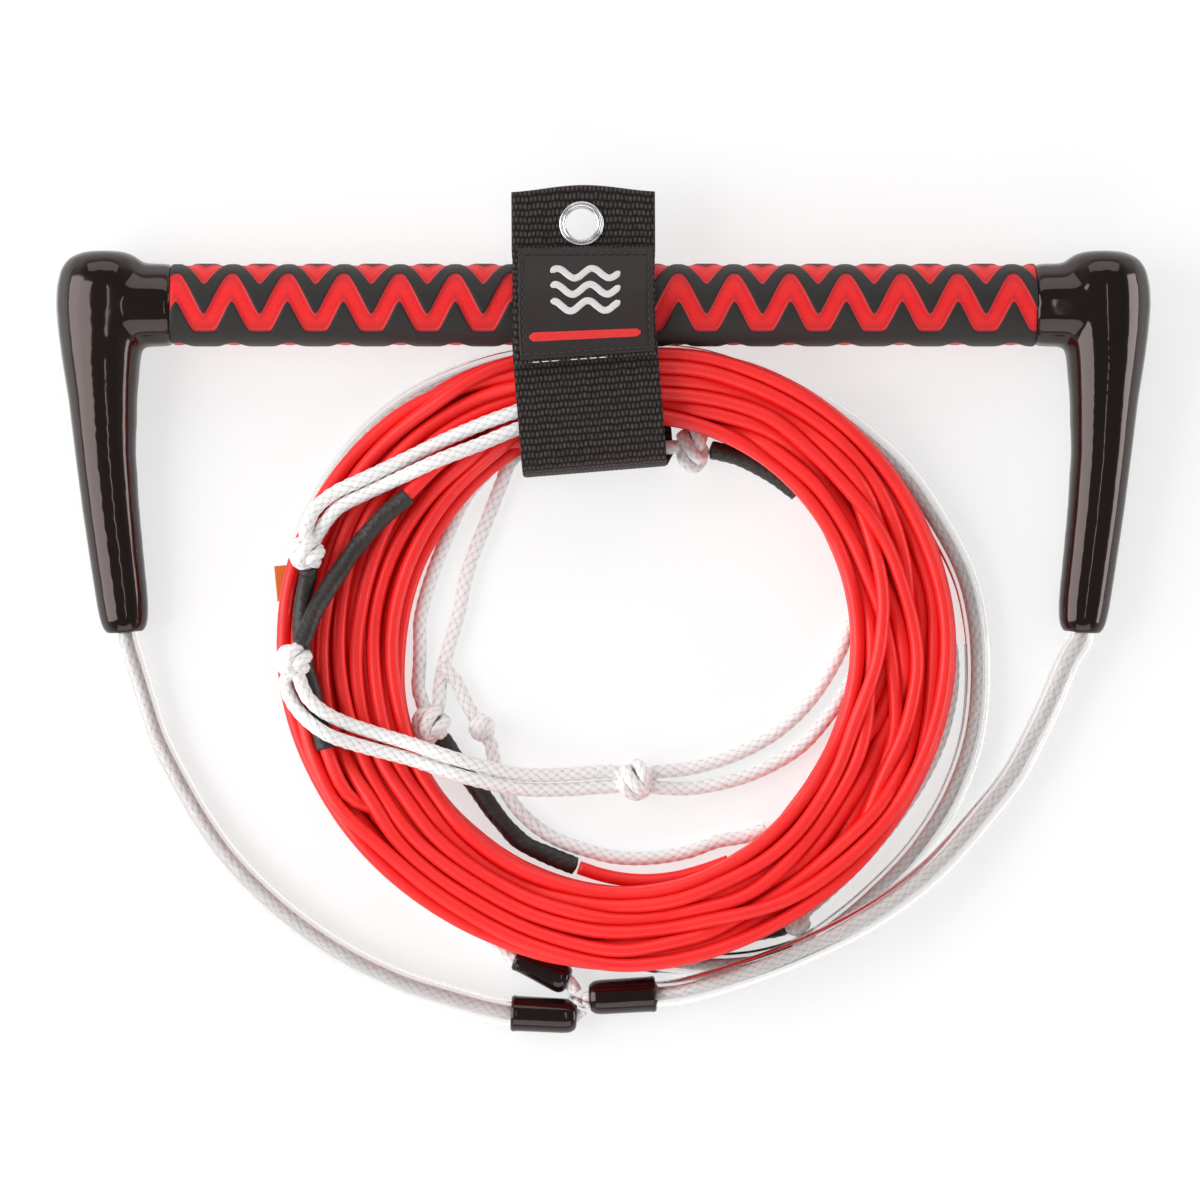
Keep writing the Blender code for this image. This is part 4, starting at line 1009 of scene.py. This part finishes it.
def make_end_caps():
    for name in ("left", "right"):
        node = bpy.data.objects[f"end_cap_{name}"]
        mesh = evaluated_mesh(node)
        obj = bpy.data.objects.new(f"end_cap_{name}_skin", mesh)
        obj.matrix_world = node.matrix_world.copy()
        bpy.context.scene.collection.objects.link(obj)
        remesh = obj.modifiers.new("remesh", "REMESH")
        remesh.mode = "VOXEL"
        remesh.voxel_size = 0.75 * MM
        smooth = obj.modifiers.new("smooth", "SMOOTH")
        smooth.factor = 0.5
        smooth.iterations = 36
        obj.data = evaluated_mesh(obj)
        obj.modifiers.clear()
        obj.data.materials.clear()
        obj.data.materials.append(VINYL)
        obj.data.polygons.foreach_set("use_smooth", np.ones(len(obj.data.polygons), bool))
        finish_piece(obj, "handle", "black_vinyl", node.name)


# ---------------------------------------------------------------- the keeper

STRAP_WIDTH = 50.2
STRAP_THICK = 1.5
TAB_SPAN = (19.0, 39.2)
TAB_Z = (23.5, 26.5)
BACK_LAYER = (
    (18.6, 25.0), (16.9, 21.5), (16.6, 17.0), (15.6, 11.4), (12.6, 6.2), (8.8, 3.0), (4.8, 1.15), (1.6, 0.9),
    (-25.0, 0.85), (-50.0, 0.9), (-54.2, 1.6), (-56.6, 4.6), (-57.3, 8.5), (-57.3, 12.7),
)
TAIL_THICK = 1.3
TAIL_LAYER = (
    (-57.3, 9.0), (-57.35, 14.6), (-57.1, 24.0), (-55.6, 30.0), (-52.4, 33.1), (-47.0, 33.85), (-36.0, 33.85),
    (-11.0, 33.85),
)
FLAP_THICK = 1.3
FLAP_LAYER = (
    (19.9, 27.3), (18.3, 28.3), (15.7, 29.83), (12.0, 32.0), (5.5, 35.0), (0.0, 36.6), (-6.0, 37.35),
    (-12.0, 37.45), (-20.0, 37.45),
)
LABEL_WIDTH = 46.5
HOOK_PAD = ((-9.0, 36.2), (-19.4, 36.2))
LOOP_PAD = ((-12.0, 35.15), (-19.4, 35.15))
GROMMET = (-1.7, 27.8)
WEAVE_ROW, WEAVE_LOOP = 2.37, 1.5
LABEL_SHIFT = 0.7
BORDER = 1.5  # from the label's edge to its stitching
SATIN_STEP = 0.35


def lean(v):
    """How the strap, drawn straight, really lies: its middle's shift across, and its turn, at a place along it."""
    steps = np.linspace(-62, 46, 217)
    turn = np.radians(-1.45 + 4.4 * smoothstep(np.clip((4 - steps) / 30, 0, 1)))
    slope = -np.sin(turn)
    shift = np.concatenate([[0], np.cumsum(0.5 * (slope[1:] + slope[:-1]) * np.diff(steps))])
    shift -= np.interp(0, steps, shift)
    return np.interp(v, steps, shift) - 1.8, np.interp(v, steps, turn)


def strap_to_row(x, y):
    """From the plane of the straight strap to the row frame, in millimetres."""
    c, s = math.cos(KEEPER_TURN), math.sin(KEEPER_TURN)
    return KEEPER_X + c * x - s * y, s * x + c * y


def keeper_point(u, v, z, slide=0.0):
    """From across, along and above the leaning strap to the row frame, in millimetres."""
    shift, turn = lean(v)
    x, y = strap_to_row(shift + slide + u * np.cos(turn), v + u * np.sin(turn))
    return np.stack(np.broadcast_arrays(x, y, z), axis=-1)


def weave(along, across):
    """Heavy webbing: rows of rounded loops, every other row shifted by half a loop."""
    along = along + 0.12 * np.sin(across * 0.9) + 0.08 * np.sin(across * 2.3 + 1)
    row = np.floor(along / WEAVE_ROW)
    up = along / WEAVE_ROW - row
    over = (across / WEAVE_LOOP + 0.5 * (row % 2) + 0.07 * np.sin(row * 2.9 + across * 0.35)) % 1.0
    loop = np.clip(1 - ((2 * over - 1) / 0.9) ** 2, 0, 1) ** 0.5
    return loop * np.clip(1 - np.abs((2 * up - 1) / 0.98) ** 3, 0, 1)


def flat_weave(along, across):
    return 0.5 + 0.5 * np.sin(across * 7.0) * np.cos(along * 7.0)


def left_of(line):
    """The unit vector to the left of a flat line at each of its points."""
    direction = unit(np.gradient(line, axis=0))
    return np.stack([-direction[:, 1], direction[:, 0]], axis=1)


def strip(name, line, thickness, width, material, pattern=weave, pitch=(0.4, 0.32), depth=0.3, slide=None,
          crown=None):
    """A strip of cloth along a line of (along, up) in the strap's plane, with its weave in relief on both sides."""
    fine = flat_route(line, pitch[0])
    normal = left_of(fine)
    if normal[len(normal) // 2, 1] < 0:
        normal = -normal
    along = distances(fine)
    across = np.linspace(-width / 2, width / 2, int(width / pitch[1]))
    from_edge = np.clip((np.abs(across) - (width / 2 - thickness / 2)) / (thickness / 2), 0, 0.97)
    half = thickness / 2 * np.sqrt(1 - from_edge ** 2)
    end = np.clip(np.minimum(along, along[-1] - along) / 0.6, 0.15, 1) ** 0.5
    sides = []
    reliefs = []
    for sign in (1, -1):
        u = across[::sign]
        height = pattern(along[:, None], u[None, :])
        lift = sign * (half[None, ::sign] * end[:, None] - depth * (1 - height) * end[:, None])
        v, z = (fine[:, k][:, None] + normal[:, k][:, None] * lift for k in range(2))
        if crown:
            v = v + crown(u)[None, :] * (along / along[-1])[:, None] ** 3
        sides.append(keeper_point(np.broadcast_to(u[None, :], v.shape), v, z, slide(v) if slide else 0.0))
        reliefs.append(height)
    return grid_object(name, np.concatenate(sides, axis=1), material, relief=np.concatenate(reliefs, axis=1))


def with_hole(obj, centre, radius):
    """The piece without the faces round a centre: the grommet's rims cover the edge."""
    mesh = bmesh.new()
    mesh.from_mesh(obj.data)
    gone = [f for f in mesh.faces
            if all((v.co.x / MM - centre[0]) ** 2 + (v.co.y / MM - centre[1]) ** 2 < radius ** 2 for v in f.verts)]
    bmesh.ops.delete(mesh, geom=gone, context="FACES")
    mesh.to_mesh(obj.data)
    mesh.free()


def make_grommet():
    x, y = strap_to_row(*GROMMET)
    top, low = TAB_Z[1] + 0.3, TAB_Z[0] - 0.3
    rim = [
        (5.36, low - 0.8), (5.36, top + 0.1), (5.45, top + 0.5), (5.7, top + 0.85), (6.1, top + 0.95),
        (6.5, top + 0.75), (6.7, top + 0.40), (6.8, top + 0.18), (6.95, top + 0.16), (7.05, top + 0.38),
        (7.3, top + 0.50), (7.6, top + 0.40), (7.8, top + 0.12), (7.75, top - 0.05), (6.0, top - 0.02),
        (5.95, low - 0.8),
    ]
    washer = [(6.05, low), (7.5, low), (7.8, low - 0.25), (7.75, low - 0.65), (7.3, low - 0.8), (6.3, low - 0.8),
              (6.05, low - 0.6)]
    for name, profile, node in (("grommet_ring", rim, "grommet"), ("grommet_back", washer, "grommet_washer")):
        piece = turned_object(name, rounded_profile(profile, 1), CHROME, (x, y, 0), (0, 0, 1), 96)
        finish_piece(piece, "handle", "bright_metal", node)


def flap_line():
    return flat_route(FLAP_LAYER, 0.5)


def on_label(u, v, lift):
    """A point on the label's face, from across and along, a little above it."""
    line = flap_line()[::-1]
    z = np.interp(v, line[:, 0], line[:, 1])
    slope = np.interp(v, line[:, 0], np.gradient(line[:, 1], line[:, 0]))
    drop = 1 / np.sqrt(1 + slope ** 2)
    rise = FLAP_THICK / 2 + 0.8 + lift
    return keeper_point(u, v - slope * drop * rise, z + drop * rise)


def embroidered(name, line, width, material):
    """A line of satin stitch on the label, from (across, along) points."""
    fine = flat_route(line, SATIN_STEP)
    normal = left_of(fine)
    across = np.linspace(-1, 1, 9)
    along = np.arange(len(fine)) * SATIN_STEP
    ridge = 0.04 * (np.floor(along / SATIN_STEP) % 2)
    end = np.sqrt(np.clip(np.minimum(along, along[-1] - along) / (0.5 * width), 0.1, 1))
    u, v = (fine[:, k][:, None] + normal[:, k][:, None] * across * width / 2 * end[:, None] for k in range(2))
    dome = (0.28 + ridge[:, None]) * np.sqrt(1 - 0.96 * across[None, :] ** 2)
    top = on_label(u, v, 0.1 + dome)
    under = on_label(u, v, np.full(u.shape, -0.02))[:, ::-1]
    return grid_object(name, np.concatenate([top, under], axis=1), material)


def stitch_row(name, start, end, material, length=2.0, gap=0.9, radius=0.24, skip=()):
    """A row of stitches on the label from one (across, along) to another, as one mesh."""
    start, end = np.array(start, float), np.array(end, float)
    total = np.linalg.norm(end - start)
    count = int(total / (length + gap))
    arch = 0.12 * np.sin(np.linspace(0, math.pi, 7)) - 0.05
    parts = []
    for k in sorted(set(range(count)) - set(skip)):
        first = (k + 0.15) / count
        u, v = (start + (end - start) * np.linspace(first, first + length / total, 7)[:, None]).T
        parts.append(swept(f"{name}_{k}", on_label(u, v, arch), radius, material, 8, rounded=0.5))
    return joined(name, parts)


def joined(name, parts):
    mesh = bmesh.new()
    for part in parts:
        mesh.from_mesh(part.data)
    data = bpy.data.meshes.new(name)
    mesh.to_mesh(data)
    mesh.free()
    data.materials.append(parts[0].data.materials[0])
    data.polygons.foreach_set("use_smooth", np.ones(len(data.polygons), bool))
    obj = bpy.data.objects.new(name, data)
    bpy.context.scene.collection.objects.link(obj)
    for part in parts:
        old = part.data
        bpy.data.objects.remove(part)
        bpy.data.meshes.remove(old)
    return obj


def tab_crown(u):
    """How much farther the tab's free edge reaches towards its middle."""
    return 2.4 * np.cos(np.clip(u / 25 * 1.4, -math.pi / 2, math.pi / 2)) ** 2 - 0.3


def back_slide(v):
    """How far the back layer shows beside the front ones, at a place along the strap."""
    return 3.1 * np.clip((-20 - v) / 25, 0, 1) * np.clip((58.5 + v) / 5, 0, 1)


def label_slide(v):
    return LABEL_SHIFT


def on_strap(v, z):
    return tuple(keeper_point(0.0, v, z) * MM)


def make_keeper():
    tab_line = ((TAB_SPAN[0] - 0.6, 25.0), (30.0, 25.0), (TAB_SPAN[1], 25.0))
    tab = strip("keeper_tab", tab_line, 3.0, 49.9, WEBBING, crown=tab_crown)
    with_hole(tab, strap_to_row(*GROMMET), 6.7)
    finish_piece(tab, "handle", "webbing", "keeper_strap")
    back = strip("keeper_back", BACK_LAYER, STRAP_THICK, STRAP_WIDTH - 0.4, WEBBING, slide=back_slide,
                 pitch=(0.55, 0.45))
    finish_piece(back, "handle", "webbing")
    tail = strip("keeper_tail_web", TAIL_LAYER, TAIL_THICK, STRAP_WIDTH, WEBBING)
    finish_piece(tail, None, "webbing", "keeper_tail")
    flap = strip("keeper_flap_web", FLAP_LAYER, FLAP_THICK, STRAP_WIDTH - 1.0, WEBBING, pitch=(0.45, 0.4))
    finish_piece(flap, None, "webbing", "keeper_flap")
    label = make_label()
    for name, line, body, node in (("hook_tape", HOOK_PAD, "keeper_flap", "hook_pad"),
                                   ("loop_tape", LOOP_PAD, "keeper_tail", "loop_pad")):
        tape = strip(name, line, 0.7, 44.0, TAPE, pattern=flat_weave, depth=0.12)
        finish_piece(tape, body, "hook_tape", node)
    for piece in (flap, *label):
        on_strap(20.2, 27.3)
        on_strap(16.0, 29.7)
        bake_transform(piece)
    on_strap(-57.3, 10.0)
    on_strap(-57.3, 18.0)
    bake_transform(tail)
    make_grommet()


def label_groove(along, across):
    """The label is pressed in a little along its border stitching."""
    edge = np.minimum(np.abs(np.abs(across) - (LABEL_WIDTH / 2 - BORDER)), np.abs(along - 3.0))
    edge = np.minimum(edge, np.abs(along - 38.6))
    return 1 - 0.9 * np.exp(-(edge / 0.45) ** 2)


def make_label():
    line = flap_line()
    normal = left_of(line)
    above = line + (FLAP_THICK / 2 + 0.5) * normal * np.sign(np.gradient(line, axis=0)[:, :1])
    if above[len(above) // 2, 1] < line[len(line) // 2, 1]:
        above = 2 * line - above
    keep = above[(above[:, 0] < 19.5) & (above[:, 0] > -20.2)]
    patch = strip("label_patch", [tuple(p) for p in keep[::6]], 0.6, LABEL_WIDTH, LABEL,
                  pattern=label_groove, depth=0.26, slide=label_slide)
    left, right = (side * (LABEL_WIDTH / 2 - BORDER) + LABEL_SHIFT for side in (-1, 1))
    borders = (("left", (left, 15.5), (left, -16.5)), ("right", (right, 15.5), (right, -16.5)),
               ("top", (left, 16.3), (right, 16.3)), ("low", (left, -16.8), (right, -16.8)))
    pieces = [patch] + [stitch_row(f"stitches_{name}", *ends, BLACK_THREAD) for name, *ends in borders]
    pieces.append(stitch_row("stitches_hem", (-19.0, -19.5), (14.0, -19.5), PALE_THREAD, 2.6, 0.5, 0.16,
                             skip=(3, 8, 9)))
    for k, v in enumerate((9.5, 4.0, -1.5)):
        u = np.linspace(-12.0, 12.0, 13) + 0.6
        wave = [(a, v + 1.7 * math.sin(2 * math.pi * (a + 12) / 12 + 0.4 * k)) for a in u]
        pieces.append(embroidered(f"wave_stitch_{k}", wave, 2.3, PALE_THREAD))
    pieces.append(embroidered("bar_stitch", [(-19.0, -11.3), (0.0, -11.3), (19.5, -11.3)], 3.0, RED_THREAD))
    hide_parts("keeper_label")
    return pieces


# ---------------------------------------------------------------- build

make_stage()
WHITE = rope_material()
# The same white rope painted 12% lighter for inside the clear tubing: painted light, making up for the light the
# tubing keeps off it.
PAINTED_BRIGHTER_WHITE = rope_material("tubed_rope_painted_brighter", 1.12)
FOAM = foam_material()
WEBBING = webbing_material()
LABEL = label_material()
TAG_CLOTH = thread_material("tag_cloth", (0.62, 0.15, 0.015))
BLACK_THREAD = thread_material("black_thread", (0.030, 0.026, 0.026))
PALE_THREAD = thread_material("pale_thread", (0.72, 0.70, 0.70))
RED_THREAD = thread_material("red_thread", (0.78, 0.02, 0.02))
CHROME = metal_material("chrome", (0.74, 0.74, 0.75), 0.18, 0.28)
ALUMINIUM = metal_material("aluminium_tube", (0.72, 0.73, 0.75), 0.28, 0.42)

# name, (tones), noise of the tones, lowest and highest roughness and its noise, depth of the bump and its noise
RED = varied_material("red_line", (((0.94, 0.022, 0.019), (0.80, 0.012, 0.012)), (0.045, 3.0)),
                      (0.36, 0.50, 0.5, 4.0), (0.035, 1.6, 3.0), Specular_IOR_Level=0.4, Coat_Weight=0.1,
                      Coat_Roughness=0.35)
CLEAR = varied_material("clear_tubing", (((0.92, 0.908, 0.905),),), (0.02, 0.09, 0.08, 3.0), (0.02, 0.3, 2.0),
                        IOR=1.26, Transmission_Weight=1.0)
VINYL = varied_material("dipped_vinyl", (((0.0060, 0.0038, 0.0030), (0.0095, 0.0060, 0.0050)), (0.03, 3.0)),
                        (0.05, 0.12, 0.25, 4.0), (0.12, 0.10, 2.0), Specular_IOR_Level=0.52,
                        Specular_Tint=(1.0, 0.82, 0.79, 1.0))
SHRINK = varied_material("shrink_sleeve", (((0.010, 0.008, 0.0075), (0.042, 0.034, 0.032)), (0.5, 4.0)),
                         (0.28, 0.50, 0.8, 4.0), (0.35, 0.8, 4.0), Specular_IOR_Level=0.4)
PLUG_FOAM = varied_material("float_foam", (((0.25, 0.25, 0.26), (0.4, 0.4, 0.41)), (0.9, 5.0)),
                            (0.8, 1.0, 0.9, 5.0), (0.3, 0.9, 5.0))
TAPE = varied_material("hook_tape", (((0.008, 0.008, 0.008), (0.04, 0.038, 0.038)), (2.5, 5.0)),
                       (0.8, 1.0, 2.5, 5.0), (0.5, 2.5, 5.0))

flat, sleeves, line_end, line_route, coil = make_coil_path()
coil, sleeve_1, sleeve_2, loops = make_top_loops(coil)
coil_piece = finish_piece(swept("mainline_coil_rope", coil, LINE_R, RED, around=14), "handle", "red_line",
                          "mainline_coil")
top_pieces = [shrink_sleeve("shrink_sleeve_1", sleeve_1), shrink_sleeve("shrink_sleeve_2", sleeve_2), make_tag()]
knot_1 = knot_between("loop_knot_1", [loops["loop_rope_1a"], sleeve_1], 0.15, 1.15)
knot_2 = knot_between("loop_knot_2", [loops["loop_rope_2a"], sleeve_2], 0.3, 1.0)
for node, path in loops.items():
    rope_cord(node, path)
make_flat_loops(flat, sleeves, line_end)
make_handle_line(line_route)
make_bridles()
make_grip()
make_end_caps()
make_keeper()
for node, material in (("handle_tube", ALUMINIUM), ("float_plug_left", PLUG_FOAM), ("float_plug_right", PLUG_FOAM)):
    bpy.data.objects[node].material_slots[0].material = material
